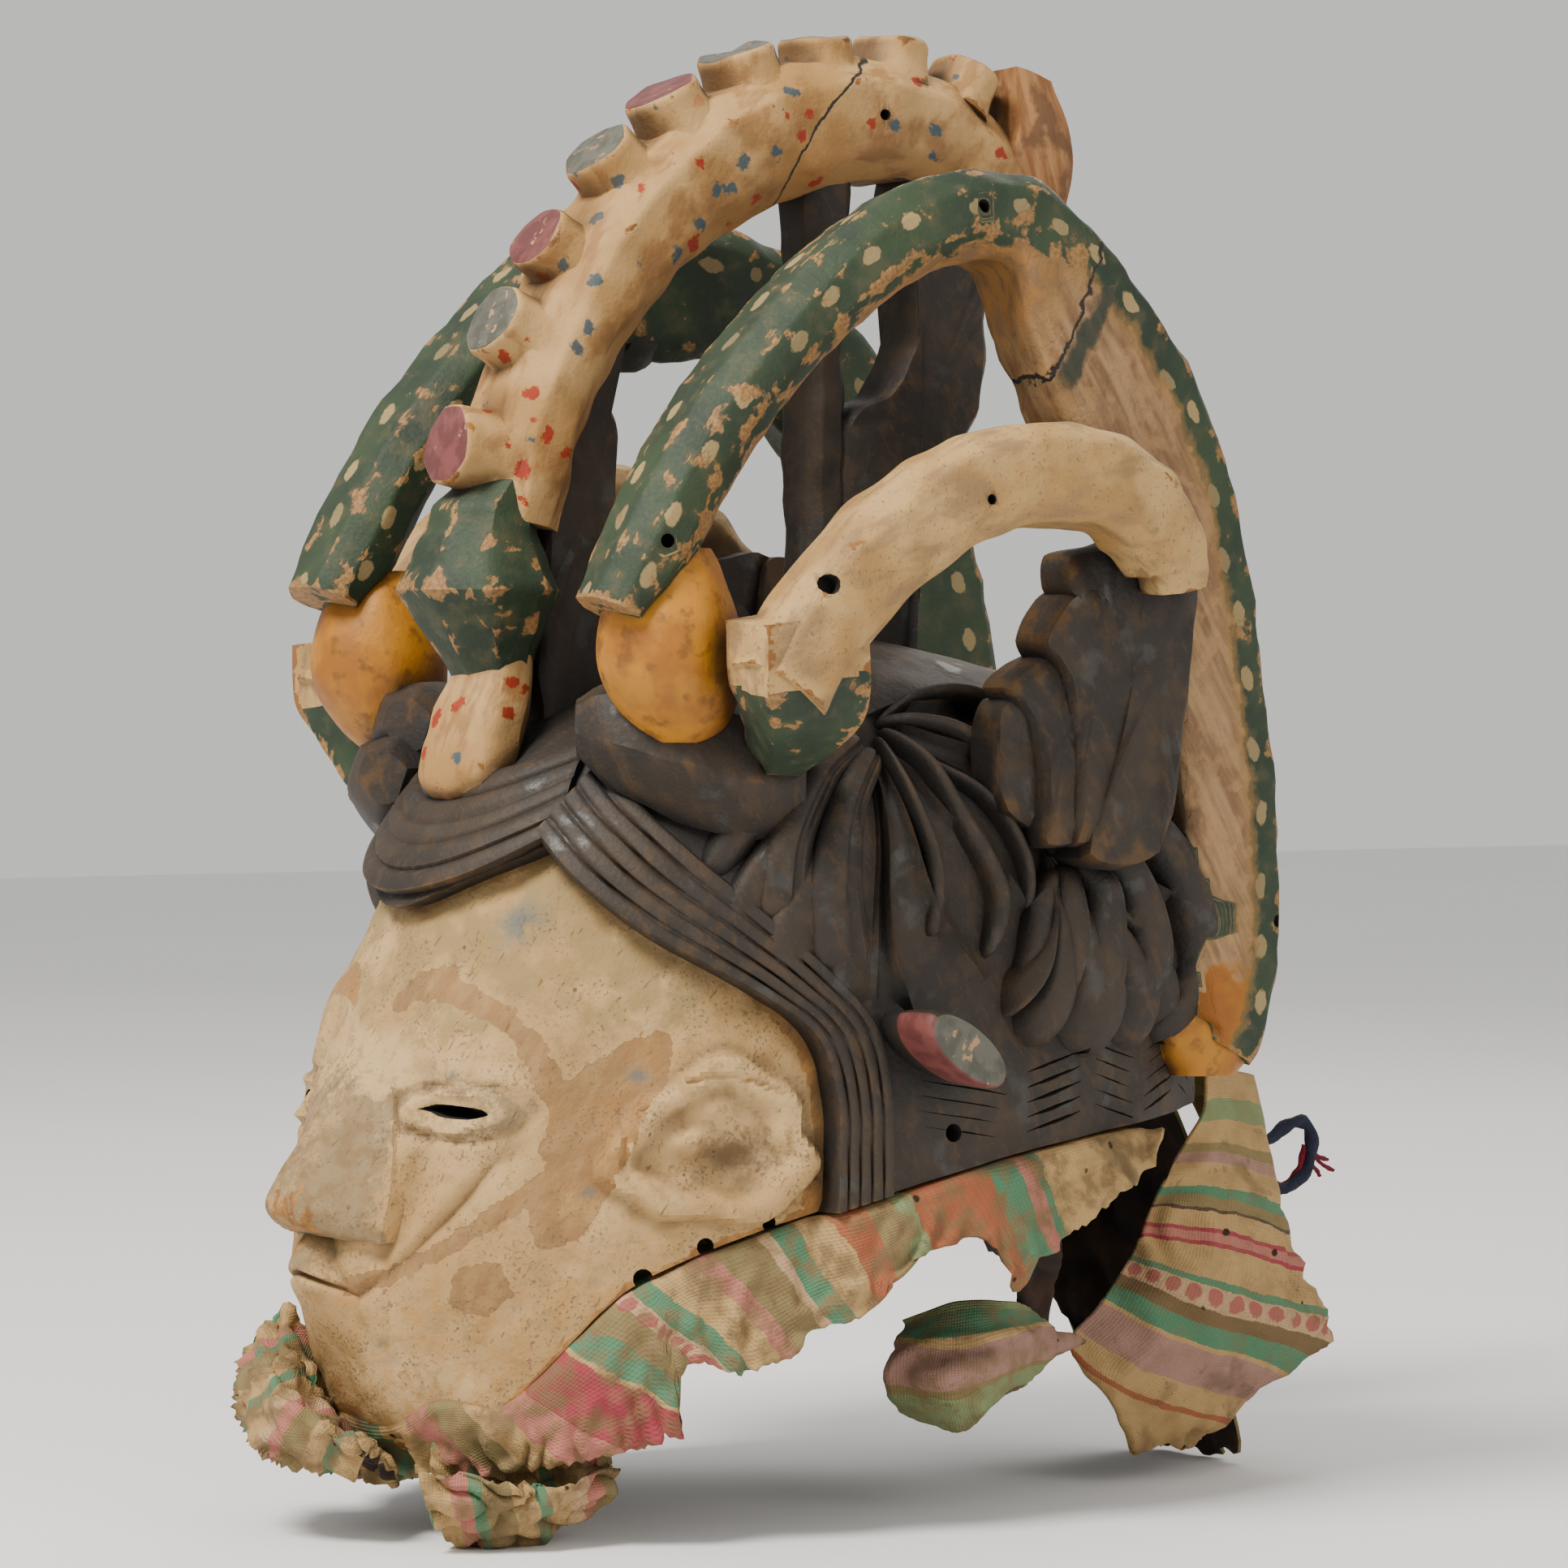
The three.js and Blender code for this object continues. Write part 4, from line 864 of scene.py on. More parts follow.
# %% [markdown]
# Supports. Yellow pads, a faceted green bulb and a stub carry the arches in front.
# Each is a loft through rings of eight or ten corners, nearly sharp on the bulb.

# %% Pads, bulb and stub
TURNED_WAVE, TURNED_ROUGH = 12, 0.4


def turned(name, rows, sides, per_side, soft, paint, steps=24, seed=51):
    rings = []
    for x, y, z, a, b in smooth(rows, steps):
        t = 2 * math.pi * (np.arange(sides) + 0.5) / sides
        corners = np.stack([x + a * np.cos(t), y + b * np.sin(t), np.full(sides, z)], -1)
        rings.append(ring_through(corners, per_side, soft))
    rings = np.array(rings)
    away = unit(rings - rings.mean(1, keepdims=True))
    return loft(name, rings + away * TURNED_ROUGH * waves(rings, TURNED_WAVE, seed)[..., None], paint)


# x, y, z and the two half widths, from one end to the other
FRONT_PAD = [[86, -100, 286, 12, 12], [87, -104, 295, 19, 18], [88, -107, 309, 24, 24], [88, -108, 324, 23, 24],
             [88, -108, 340, 18, 19], [88, -106, 350, 12, 12]]
REAR_PAD = [[88, 118, 168, 10, 13], [88, 118, 178, 14, 20], [86, 114, 198, 14, 26], [84, 112, 222, 14, 28],
            [82, 114, 246, 12, 22], [82, 118, 258, 8, 12]]
BULB = [[0, -116, 376, 17, 14], [0, -124, 366, 19, 17], [0, -126, 356, 21, 20], [0, -127, 337, 29, 28],
        [0, -124, 318, 19, 18], [0, -122, 308, 15, 13]]
STUB = [[0, -120, 316, 15, 11], [0, -122, 306, 18, 14], [0, -128, 288, 20, 16], [0, -131, 274, 20, 16],
        [0, -130, 266, 16, 12]]
pads = [turned("front_pad", FRONT_PAD, 10, 4, 0.8, "yellow_paint"),
        turned("rear_pad", REAR_PAD, 10, 4, 0.8, "yellow_paint")]
pads += [mirrored(pads[0], "front_pad_far", (0, -5, -5)), mirrored(pads[1], "rear_pad_far")]
bulb_rows = []
for k in range(len(BULB) - 1):
    a, b = np.array(BULB[k], float), np.array(BULB[k + 1], float)
    bulb_rows += [a, a * 0.67 + b * 0.33, a * 0.33 + b * 0.67]
bulb = turned("bulb", bulb_rows + [BULB[-1]], 8, 5, 0.12, "green_paint", 30, 52)
stub = turned("stub", STUB, 8, 5, 0.45, "crest_paint", 24, 53)
print("pads", len(pads), "bulb", len(bulb.data.polygons))

# %% [markdown]
# Legs and block. The side arches stand on four-cornered legs that bend and taper, so
# they are lofts as well. A block of bare wood closes the crest behind.

# %% Legs and block
BLOCKY_WAVE, BLOCKY_ROUGH = 15, 0.35


def leg_rows(reach):
    """Corners of the near leg, whose foot comes forward by reach."""
    return [[[121, -108, 326], [147, -109, 324], [147, -70, 330], [121, -70, 332]],
            [[117, -104, 306], [146, -108, 303], [147, -68, 306], [115, -68, 310]],
            [[106, -90 - reach * 0.4, 290], [134, -98 - reach * 0.4, 288], [138, -68, 290], [104, -62, 292]],
            [[84, -72 - reach, 272 - reach * 0.7], [112, -84 - reach, 276 - reach * 0.7],
             [112, -70, 276 - reach * 0.7], [84, -56, 272 - reach * 0.7]]]


def blocky(name, rows, steps, soft, paint, seed, ring_paint=None):
    rings = np.array([ring_through(r, 7, soft) for r in stacked(rows, steps)])
    return loft(name, rings + waves(rings, BLOCKY_WAVE, seed)[..., None] * BLOCKY_ROUGH, paint, ring_paint)


def capped(p, q):
    """The upper part of a leg has the arch's colour down to a slanting line."""
    return int(p > 0.29 + 0.07 * math.sin(2 * math.pi * q + 0.6))


LEG_PAINT = ["ochre_arch", "green_paint"]
leg = blocky("leg_near", leg_rows(0), 40, 0.12, LEG_PAINT, 61, capped)
leg_model = blocky("leg_far_tool", leg_rows(16), 40, 0.12, LEG_PAINT, 61, capped)
leg_far = mirrored(leg_model, "leg_far", (0, -5, -5))
bpy.data.objects.remove(leg_model)
BLOCK = [
    [[-15, 86, 484], [15, 88, 482], [15, 112, 474], [-15, 112, 474]],
    [[-17, 90, 506], [17, 92, 506], [17, 116, 496], [-17, 116, 496]],
    [[-15, 88, 524], [16, 90, 526], [17, 106, 522], [-14, 108, 520]]]
block = blocky("block", BLOCK, 18, 0.16, "bare_wood", 62)
print("legs", len(leg.data.polygons), "block", len(block.data.polygons))

# %% [markdown]
# Nine knobs stand along the crest, with painted tops. Set upright they would lean
# against its curve, so the crest's own path tells which way is up for each of them.

# %% Knobs on the crest
crest_line = smooth(CREST, 60)
KNOB_PAINT = [("pink_cap", "grey_cap")[k] for k in (0, 1, 0, 1, 0, 1, 1, 1, 0)]
knobs = []
for k, (y, z, long, wide, high) in enumerate(KNOBS):
    near = int(np.argmin(np.hypot(crest_line[:, 1] - y, crest_line[:, 2] - z)))
    way = crest_line[near + 1, :3] - crest_line[near - 1, :3]
    way = way / np.linalg.norm(way)
    up = np.array([0, -way[2], way[1]])
    t = 2 * math.pi * (np.arange(8) + 0.5) / 8
    rings = []
    for h, s in smooth([[-6, 1.2], [0, 1.06], [high * 0.45, 1.0], [high - 1.6, 0.99], [high, 0.9]], 12):
        lengthwise = way * (long / 2 * s * np.cos(t))[:, None]
        ring = (0, y, z) + up * h + lengthwise + (wide / 2 * s * np.sin(t))[:, None] * (1, 0, 0)
        rings.append(ring_through(ring, 4, 0.5 + 0.1 * (k % 3)))
    rings = np.array(rings)
    rings += up * (0.7 * waves(rings, 18, 70 + k))[..., None] * np.linspace(0, 1, len(rings))[:, None, None]
    knobs.append(loft(f"knob_{k}", rings, ["crest_paint", KNOB_PAINT[k]], lambda p, q: 1 if p > 0.86 else 0))
print("knobs", len(knobs))

# %% [markdown]
# Dark uprights stand inside the openwork: a post, and a fin and a bracket that are
# boards, so they are outlines with a thickness.

# %% Uprights
POST = [[0, 5, 290, 24, 18, 5], [0, 4, 340, 22, 18, 5], [0, 4, 390, 22, 18, 5], [0, 4, 440, 22, 18, 5],
        [0, 2, 496, 28, 22, 5]]
post = bar("post", POST, 40, "dark_hair", 0.0, 0.9, 81)
FIN = [[14, 290], [46, 292], [52, 344], [64, 380], [80, 404], [82, 440], [88, 492], [48, 497], [50, 440],
       [49, 426], [38, 408], [18, 394]]
BRACKET = [[-106, 290], [-82, 290], [-78, 350], [-76, 392], [-81, 408], [-68, 444], [-98, 414], [-106, 372]]


def upright(name, outline):
    ring = ring_through(outline, 8, 0.55)
    rings = np.array([np.column_stack([np.full(len(ring), x), ring.mean(0) + (ring - ring.mean(0)) * s])
                      for x, s in ((-11, 0.9), (-8.5, 1), (0, 1), (8.5, 1), (11, 0.9))])
    return loft(name, rings + waves(rings, 20, 91)[..., None] * (0.8, 0.5, 0.0), "dark_hair")


fin, bracket = upright("fin", FIN), upright("bracket", BRACKET)
print("fin", len(fin.data.polygons), "bracket", len(bracket.data.polygons))

# %% [markdown]
# What is cut away. The hollow keeps the same wall as the solid, with the gouge's waves
# left inside. One prism takes off all that lies under the sloping rim.

# %% Hollow, rim and holes


def peg(name, at, way, radius, long):
    at, way = np.asarray(at, float), np.asarray(way, float)
    way = way / np.linalg.norm(way)
    helper = np.cross(way, (0.3, 0.2, 1.0))
    helper /= np.linalg.norm(helper)
    other = np.cross(way, helper)
    t = around(12)[:, None]
    disc = radius * (np.cos(t) * helper + np.sin(t) * other)
    return loft(name, [at - way * long / 2 + disc, at + way * long / 2 + disc], "dark_hollow")


hollow_heights = np.concatenate([[0], np.linspace(40, 250, 34), [257, 264, 271, 277, 281, 284]])
A, Z = np.meshgrid(np.arange(0, 360, 5.0), hollow_heights)
inside = shell(A, Z, -WALL - np.maximum(Z - 250, 0) * 0.25)
inside += (inside / 120) * (0.8 * waves(inside, 22, 15))[..., None] * (1, 1, 0)
# The inside of the head is painted nearly black, as shade.
cavity = loft("cavity", inside, "dark_hollow")
under = prism("under_rim", smooth(RIM, 90).tolist() + [[200, -60], [-230, -60]], 0, -200, 200, "bare_wood")
# where a hole is, which way it runs, its radius and its length
HOLES = {"rim_hole_0": ((88, -118, 109), (1, -0.6, 0), 3.4, 40), "rim_hole_1": ((93, -96, 119), (1, -0.4, 0), 3.0, 40),
         "rim_hole_2": ((97, -73, 126), (1, -0.2, 0), 2.6, 40), "rim_hole_3": ((103, -6, 154), (1, 0, 0), 3.2, 50),
         "plug_hole": ((150, -86, 338), (1, -0.2, 0.2), 3.6, 16), "nail_0": ((105, 8, 466), (1, -0.2, 0.3), 2.4, 14),
         "nail_1": ((105, -120, 352), (1, -0.5, 0), 2.4, 14), "nail_2": ((22, 28, 505), (1, 0, 0), 2.0, 14),
         "nail_3": ((104, 140, 222), (1, 0.4, 0), 2.4, 16), "nail_4": ((150, -22, 366), (1, 0, 0), 1.8, 14)}
# The holes are painted nearly black, as shade.
holes = [peg(name, *row) for name, row in HOLES.items()]
print("holes", len(holes))

# %% [markdown]
# Joining. The carving reads as one piece of wood, so all the bodies are joined. The
# hollow is cut last, so that nothing reaches into it.

# %% One carved body
mask = skull
combine(mask, [nose, mouth, hair])
combine(mask, [*bands, tongue, *fans, *rolls, *locks])
combine(mask, hatch, "DIFFERENCE")
combine(mask, [comb[0], comb_far, ear_knob, ear_knob_far, *pads, bulb, stub, leg, leg_far])
combine(mask, [green, green_far, beige, beige_far, crest, block, post, fin, bracket, *knobs])
combine(mask, [under, cavity, eye_near, eye_far, *holes], "DIFFERENCE")
mask.name = "carved_mask_wood"
triangles = sum(len(p.vertices) - 2 for p in mask.data.polygons)
print("carved body", len(mask.data.polygons), "faces", triangles, "triangles")

# %% [markdown]
# Cloth. The collar is old striped cotton, torn in places. A cloth simulation would
# choose its own folds, but the photograph shows where they are, so each sheet is a
# grid read smoothly from a few rows, wrinkled a little and given a ragged edge.

# %% Folds and torn edges


def surface(rows, down, over):
    """A smooth grid through a few rows of points."""
    rows = np.asarray(rows, float)
    tall = smooth(rows.reshape(len(rows), -1), down).reshape(down + 1, rows.shape[1], 3)
    across = smooth(tall.transpose(1, 0, 2).reshape(rows.shape[1], -1), over)
    return across.reshape(over + 1, down + 1, 3).transpose(1, 0, 2)


def grid_normals(grid):
    n = np.cross(np.gradient(grid, axis=0), np.gradient(grid, axis=1))
    return n / np.maximum(np.linalg.norm(n, axis=-1, keepdims=True), 1e-9)


def from_side(grid, side):
    """0 on the named side of a grid and 1 on the side across from it."""
    rows, cols = grid.shape[:2]
    v, u = np.linspace(0, 1, rows)[:, None], np.linspace(0, 1, cols)[None, :]
    return {"top": v + 0 * u, "bottom": 1 - v + 0 * u, "left": u + 0 * v, "right": 1 - u + 0 * v}[side]


def wrinkled(grid, high, length, seed, hold=()):
    """Soft folds; sides named in hold stay where they are."""
    keep = np.ones(grid.shape[:2])
    for side in hold:
        keep = keep * step(from_side(grid, side), 0, 0.3)
    crease = 1 - np.abs(np.sin(2.2 * waves(grid, length, seed))) * 2
    fine = waves(grid, length * 0.3, seed + 1)
    return grid + grid_normals(grid) * (keep * (crease * high + fine * high * 0.25))[..., None]


def ragged(grid, sides, deep, seed):
    """Pull the named edges in by uneven amounts, as a torn edge goes."""
    out = grid.copy()
    rows, cols = grid.shape[:2]
    v, u = np.linspace(0, 1, rows)[:, None], np.linspace(0, 1, cols)[None, :]
    for side in sides:
        along, reach = (0, v) if side in ("top", "bottom") else (1, u)
        edge, inner = {"top": (grid[0], grid[1]), "bottom": (grid[-1], grid[-2]),
                       "left": (grid[:, 0], grid[:, 1]), "right": (grid[:, -1], grid[:, -2])}[side]
        pull = inner - edge
        pull /= np.maximum(np.linalg.norm(pull, axis=-1, keepdims=True), 1e-9)
        tear = deep * (0.5 + 0.5 * waves(edge, 9, seed) + 0.35 * waves(edge, 3.5, seed + 3))[..., None] * pull
        near = 1 - reach if side in ("top", "left") else reach
        weight = np.clip((near - 0.75) / 0.25, 0, 1) ** 2
        out += (tear[None] * weight[..., None]) if along == 0 else (tear[:, None] * weight[..., None])
    return out


print("a sheet's sides are top, bottom, left and right")

# %% [markdown]
# A sheet gets a thickness of a millimetre and a half. Stripes drawn in space would run
# straight through a fold, so a second set of coordinates holds every point's place on
# the flat cloth in metres, and the stripes are drawn on that.

# %% Sheets of cloth
CLOTH = 1.5


def run(grid, axis):
    """Millimetres along the cloth from its first row or column to every point."""
    lengths = np.cumsum(np.linalg.norm(np.diff(grid, axis=axis), axis=-1), axis=axis)
    return np.concatenate([np.zeros_like(lengths.take([0], axis)), lengths], axis)


def cloth(name, grid, flat, pattern, inside="plain_back", woven=None):
    normal = grid_normals(grid) * CLOTH / 2
    points = np.concatenate([(grid + normal).reshape(-1, 3), (grid - normal).reshape(-1, 3)])
    front, back, rim_faces = sheet_faces(*grid.shape[:2])
    data = bpy.data.meshes.new(name)
    data.from_pydata(to_frame(points).tolist(), [], np.concatenate([front, back, rim_faces]).tolist())
    across_flat, down_flat = run(grid, 1), run(grid, 0)
    u_flat = across_flat.mean(0)[None, :] + 0 * down_flat if woven is None else woven
    place = np.stack([u_flat, down_flat.mean(1)[:, None] + 0 * across_flat], -1).reshape(-1, 2)
    place = np.concatenate([place, place]) * MM
    corners = read(data.loops, "vertex_index", 1, np.int32)[:, 0]
    data.uv_layers.new(name="flat").data.foreach_set("uv", place[corners].ravel())
    data.materials.append(textile[pattern])
    data.materials.append(textile[inside])
    slots = np.concatenate([np.zeros(len(front)), np.ones(len(back)), np.zeros(len(rim_faces))]).astype(np.int32)
    data.polygons.foreach_set("material_index", slots)
    data.polygons.foreach_set("use_smooth", np.ones(len(data.polygons), bool))
    data.update()
    made = placed(name, data)
    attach(made, "root")
    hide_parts("cloth_collar")
    sides = np.diff(grid, axis=0)[:, :-1], np.diff(grid, axis=1)[:-1]
    area = float(np.linalg.norm(np.cross(*sides), axis=-1).sum() / 100)
    print(name, "flat", flat, "mm, hanging area", round(area), "cm2")


TEXTILES = ["strip_stripes", "panel_stripes", "loop_stripes", "front_stripes", "far_stripes",
            "plain_back", "shade_black_cloth"]
textile = {name: bpy.data.materials.new(name) for name in TEXTILES}
print(len(textile), "cloth finishes")

# %% [markdown]
# The near strip is fixed inside the rim. It comes out from under the wood, turns
# over the edge and hangs with a torn lower side. Its rows could be drawn as points in
# space, but read from an angle round the head they follow the rim by themselves.

# %% Rows that follow the rim
DOWN = 42
FOLD_START, FOLD_RUN = 18, 24


def rim_height(y):
    rim = np.array(RIM, float)
    return np.interp(y, rim[:, 0], rim[:, 1])


def beside_rim(angle, lift, rise=0.0):
    """The point at the height of the rim, found by a few rounds of looking it up."""
    z = np.full(np.shape(angle), 140.0)
    for _ in range(6):
        z = rim_height(skin(angle, z, lift)[..., 1])
    point = skin(angle, z, lift)
    point[..., 2] = z + rise
    return point


def hanging(angle, lift, z):
    point = skin(angle, np.clip(z, 46, 200), lift)
    point[..., 2] = z
    return point


def tucked(angle, hairy):
    """Rows inside the rim, under its edge and out again, and how high the cloth comes out."""
    rows = [beside_rim(angle, -WALL - 2.5, 12.0), beside_rim(angle, -WALL - 2.5, -1.5),
            beside_rim(angle, -6.0, -2.4), beside_rim(angle, hairy + 1.6, -2.2)]
    return rows, beside_rim(angle, hairy + 2.0)[:, 2] - 1.8


def filled(rows):
    rows = np.array(rows)
    return smooth(rows.reshape(len(rows), -1), DOWN).reshape(DOWN + 1, -1, 3)


folds = np.clip((np.arange(DOWN + 1) - FOLD_START) / FOLD_RUN, 0, 1)[:, None] ** 0.6
print("the rim stands", rim_height(0), "mm high in the middle of the side")

# %% [markdown]
# The strip's lower edge is read off the photograph as angle, height and distance from
# the skin. Its stripes lean, so their place on the cloth moves back as it falls.

# %% Near strip
STRIP_LOW = [[-46, 62, 10], [-36, 50, 9], [-26, 40, 7], [-14, 35, 6], [0, 35, 6], [8, 40, 6], [17.2, 46, 8],
             [22.2, 44, 9], [34.5, 47, 9], [45.2, 51, 9], [51.5, 54, 9], [53.4, 58, 8], [55.6, 55, 10],
             [56.4, 67, 8], [57, 76, 7], [60, 81, 7], [65, 76, 9], [69.8, 80, 9], [75.2, 92, 9], [80, 98, 9],
             [80.8, 103, 9], [84.2, 113, 9], [87.5, 118, 9], [90, 119, 9], [91.6, 113, 12], [93.2, 99, 13],
             [94.8, 101, 12], [96.8, 109, 11], [101.8, 118, 11], [107, 126, 12], [117.8, 138, 12], [120, 152, 12]]
low_edge = np.array(STRIP_LOW, float)
strip_angle = np.linspace(-46, 120, 320)
hairy = HAIR_DEPTH * step(strip_angle, 74, 78)
low_z = np.interp(strip_angle, low_edge[:, 0], low_edge[:, 1])
low_lift = np.interp(strip_angle, low_edge[:, 0], low_edge[:, 2]) + hairy * 0.4
key_rows, under_rim_z = tucked(strip_angle, hairy)
for f in (0.25, 0.5, 0.75, 1.0):
    lift = hairy * (1 - f * 0.5) + 3.0 + (low_lift - 3.0) * f
    key_rows.append(hanging(strip_angle, lift, under_rim_z + (low_z - under_rim_z) * f))
strip_grid = filled(key_rows)
crumple = 1.9 + 2.6 * bump(strip_angle - 2, 20)[None, :]
crease = folds * (1 - np.abs(np.sin(waves(strip_grid, 24, 101) * 2.0)) * 2) * crumple
strip_grid = strip_grid + grid_normals(strip_grid) * (crease + folds * 0.7 * waves(strip_grid, 8, 102))[..., None]
strip_grid = ragged(strip_grid, ["bottom"], 1.6, 103)
drop = np.maximum(under_rim_z[None, :] - strip_grid[..., 2], 0)
slant = 0.54 - 0.34 * step(strip_angle, 60, 85)
woven = 100 + strip_angle[None, :] * PACE - drop * slant
cloth("cloth_strip_near", strip_grid, (480, 80), "strip_stripes", woven=woven)

# %% [markdown]
# The far skirt can't be seen in the photograph, so it is a guess. It is made like the
# strip, and comes down to the floor at the side and at the rear.

# %% Far skirt
FAR_LOW = [[-188, 22, 38], [-180, 21, 40], [-172, 26, 36], [-160, 80, 16], [-144, 112, 10], [-128, 118, 10],
           [-112, 116, 8], [-96, 106, 10], [-85, 50, 12], [-77, 21, 12], [-69, 21, 14], [-60, 54, 12],
           [-50, 62, 12], [-44, 60, 12]]
far_edge = np.array(FAR_LOW, float)
far_angle = np.linspace(-188, -44, 190)
far_low = smooth(np.column_stack([np.arange(len(far_edge)), far_edge]), 300)
hairy = HAIR_DEPTH * step(-far_angle, 74, 78)
order = np.argsort(far_low[:, 1])
low_z = np.interp(far_angle, far_low[order, 1], far_low[order, 2])
low_lift = np.interp(far_angle, far_low[order, 1], far_low[order, 3])
shoulder = np.interp(far_angle, [-188, -180, -170, -160, -50, -44], [14, 16, 12, 4, 4, 4])
key_rows, under_rim_z = tucked(far_angle, hairy)
for f in (0.2, 0.45, 0.72, 1.0):
    lift = hairy + shoulder + (low_lift - shoulder) * f
    key_rows.append(hanging(far_angle, lift, under_rim_z + (low_z - under_rim_z) * f))
far_grid = filled(key_rows)
crease = folds * (1 - np.abs(np.sin(waves(far_grid, 34, 111) * 2.0)) * 2) * 2.2
far_grid = far_grid + grid_normals(far_grid) * crease[..., None]
far_grid = ragged(far_grid, ["bottom"], 2.5, 113)
# The skirt's inner side is painted nearly black as shade.
cloth("cloth_skirt_far", far_grid, (470, 125), "far_stripes", "shade_black_cloth")

# %% [markdown]
# Single sheets. The rear panel hangs from the nape and swings out, a loop of the
# same cloth hangs beside it below the rim, a twisted tail falls by them, a pouch is
# folded up under the chin and a crumpled fold stands in front of it. Their rows follow
# the woven stripes, so that a stripe stays on its own place of the cloth.

# %% Rows of the panel and the loop
PANEL = [
    [[60, 142, 166], [54, 157, 166], [48, 173, 163], [18, 168, 163]],
    [[63, 138, 151], [61, 153, 151], [54, 174, 146], [16, 174, 148]],
    [[59, 129, 135], [64, 147, 135], [56, 177, 128], [14, 182, 130]],
    [[56, 121, 119], [67, 143, 117], [58, 183, 106], [12, 190, 108]],
    [[53, 117, 106], [69, 142, 101], [58, 192, 87], [10, 196, 88]],
    [[50, 112, 96], [67, 136, 85], [56, 203, 67], [8, 198, 68]],
    [[47, 103, 83], [62, 128, 68], [54, 178, 54], [10, 192, 54]],
    [[43, 94, 70], [55, 114, 54], [53, 159, 41], [14, 184, 40]],
    [[49, 109, 54], [52, 116, 37], [52, 140, 36], [30, 168, 32]],
    [[48, 114, 39], [50, 120, 30], [49, 133, 32], [38, 150, 30]]]
LOOP = [
    [[54, 12, 85], [67, 25, 92], [76, 40, 92], [65, 62, 87]], [[59, 5, 78], [80, 14, 76], [85, 35, 80], [64, 68, 80]],
    [[59, 1, 67], [85, 10, 66], [85, 36, 71], [50, 96, 72]], [[56, 10, 55], [81, 18, 50], [80, 39, 61], [58, 77, 69]],
    [[46, 28, 58], [61, 35, 53], [67, 48, 61], [54, 75, 68]]]
TAIL = [
    [[100, 12, 122], [103, 26, 126], [106, 40, 130]], [[91, 20, 114], [94, 34, 116], [97, 48, 118]],
    [[82, 31, 110], [84, 44, 108], [86, 57, 106]], [[76, 45, 103], [72, 56, 98], [68, 67, 93]],
    [[67, 52, 90], [66, 60, 84], [64, 68, 78]]]
panel_grid = ragged(wrinkled(surface(PANEL, 70, 44), 1.6, 44, 121, ["top"]), ["bottom", "right"], 2.2, 122)
cloth("cloth_panel_rear", panel_grid, (105, 160), "panel_stripes", "plain_back")
loop_grid = ragged(wrinkled(surface(LOOP, 50, 46), 1.2, 34, 131), ["left"], 1.5, 132)
# The loop's inner side is painted nearly black as shade.
cloth("cloth_loop", loop_grid, (95, 60), "loop_stripes", "shade_black_cloth")
tail_grid = wrinkled(surface(TAIL, 40, 18), 0.8, 20, 135)
# The tail is painted nearly black as shade on both sides.
cloth("cloth_tail", tail_grid, (32, 72), "shade_black_cloth", "shade_black_cloth")

# %% [markdown]
# The pouch and the front fold are bundles of cloth. Only their outer side shows, so
# their rows run over the outside and turn under at both ends.

# %% Pouch and front fold
POUCH = [
    [[31, -164, 57], [42, -150, 52], [52, -132, 52], [60, -112, 54]],
    [[27, -162, 38], [36, -147, 32], [47, -126, 34], [56, -110, 43]],
    [[40, -163, 23], [49, -150, 20.8], [55, -134, 24], [59, -112, 36]],
    [[53, -179, 34], [63, -161, 30], [68, -143, 34], [66, -115, 40]],
    [[54, -184, 48], [66, -167, 45], [71, -146, 42], [67, -116, 46]]]
FRONT_FOLD = [
    [[-46, -156, 58], [-27, -161, 51], [-11, -163, 43], [10, -162, 39]],
    [[-46, -171, 90], [-26, -180, 75], [-8, -186, 62], [20, -176, 47]],
    [[-44, -184, 86], [-12, -202, 76], [8, -207, 65], [30, -190, 52]],
    [[-57, -185, 75], [-30, -203, 63], [-4, -207, 50], [22, -188, 43]],
    [[-64, -171, 74], [-47, -187, 60], [-20, -195, 46], [8, -180, 43]]]
pouch_grid = ragged(wrinkled(surface(POUCH, 60, 44), 2.6, 24, 141), ["bottom", "top"], 2.0, 142)
cloth("cloth_pouch", pouch_grid, (80, 75), "front_stripes", "front_stripes")
fold_grid = ragged(wrinkled(surface(FRONT_FOLD, 56, 60), 2.4, 24, 151), ["top", "bottom", "left"], 2.5, 152)
# The fold's inner side is painted nearly black as shade.
cloth("cloth_fold_front", fold_grid, (105, 75), "front_stripes", "shade_black_cloth")

# %% [markdown]
# A loop of dark yarn goes through the free side of the panel, and red threads stick
# out of its outer end. A curve with a bevel would be smooth and round, so an oval ring
# turns along the path like twisted yarn. It is sewn in, so it belongs to the collar.

# %% Yarn sewn into the panel
YARN = [[50, 172, 139], [49, 181, 140], [49, 190, 145], [49, 198, 145], [49, 201, 137], [48, 199, 128], [47, 192, 122],
        [48, 184, 122], [50, 173, 125]]
THREADS = [[[48, 199, 138], [48, 204, 133], [47, 210, 131]], [[48, 200, 136], [48, 206, 130], [48, 212, 127]],
           [[47, 199, 131], [46, 205, 128], [45, 208, 125]]]
yarn_finish = {name: bpy.data.materials.new(name) for name in ("blue_yarn", "red_yarn")}


def thread(name, rows, radius, paint, sides=8, steps=36):
    path = smooth(rows, steps)
    along = unit(np.gradient(path, axis=0))
    side = unit(np.cross(along, (1.0, 0.2, 0.0)))
    other = np.cross(along, side)
    t = around(sides)
    twist = np.linspace(0, steps * 0.5, steps + 1)[:, None]
    wide = radius * (1 + 0.22 * np.cos(2 * (t[None, :] + twist)))
    ring = np.cos(t)[None, :, None] * side[:, None] + np.sin(t)[None, :, None] * other[:, None]
    rings = path[:, None] + wide[..., None] * ring
    made = loft(name, rings, "dark_hair")
    made.data.materials.clear()
    made.data.materials.append(yarn_finish[paint])
    made.data.polygons.foreach_set("use_smooth", np.ones(len(made.data.polygons), bool))
    return made


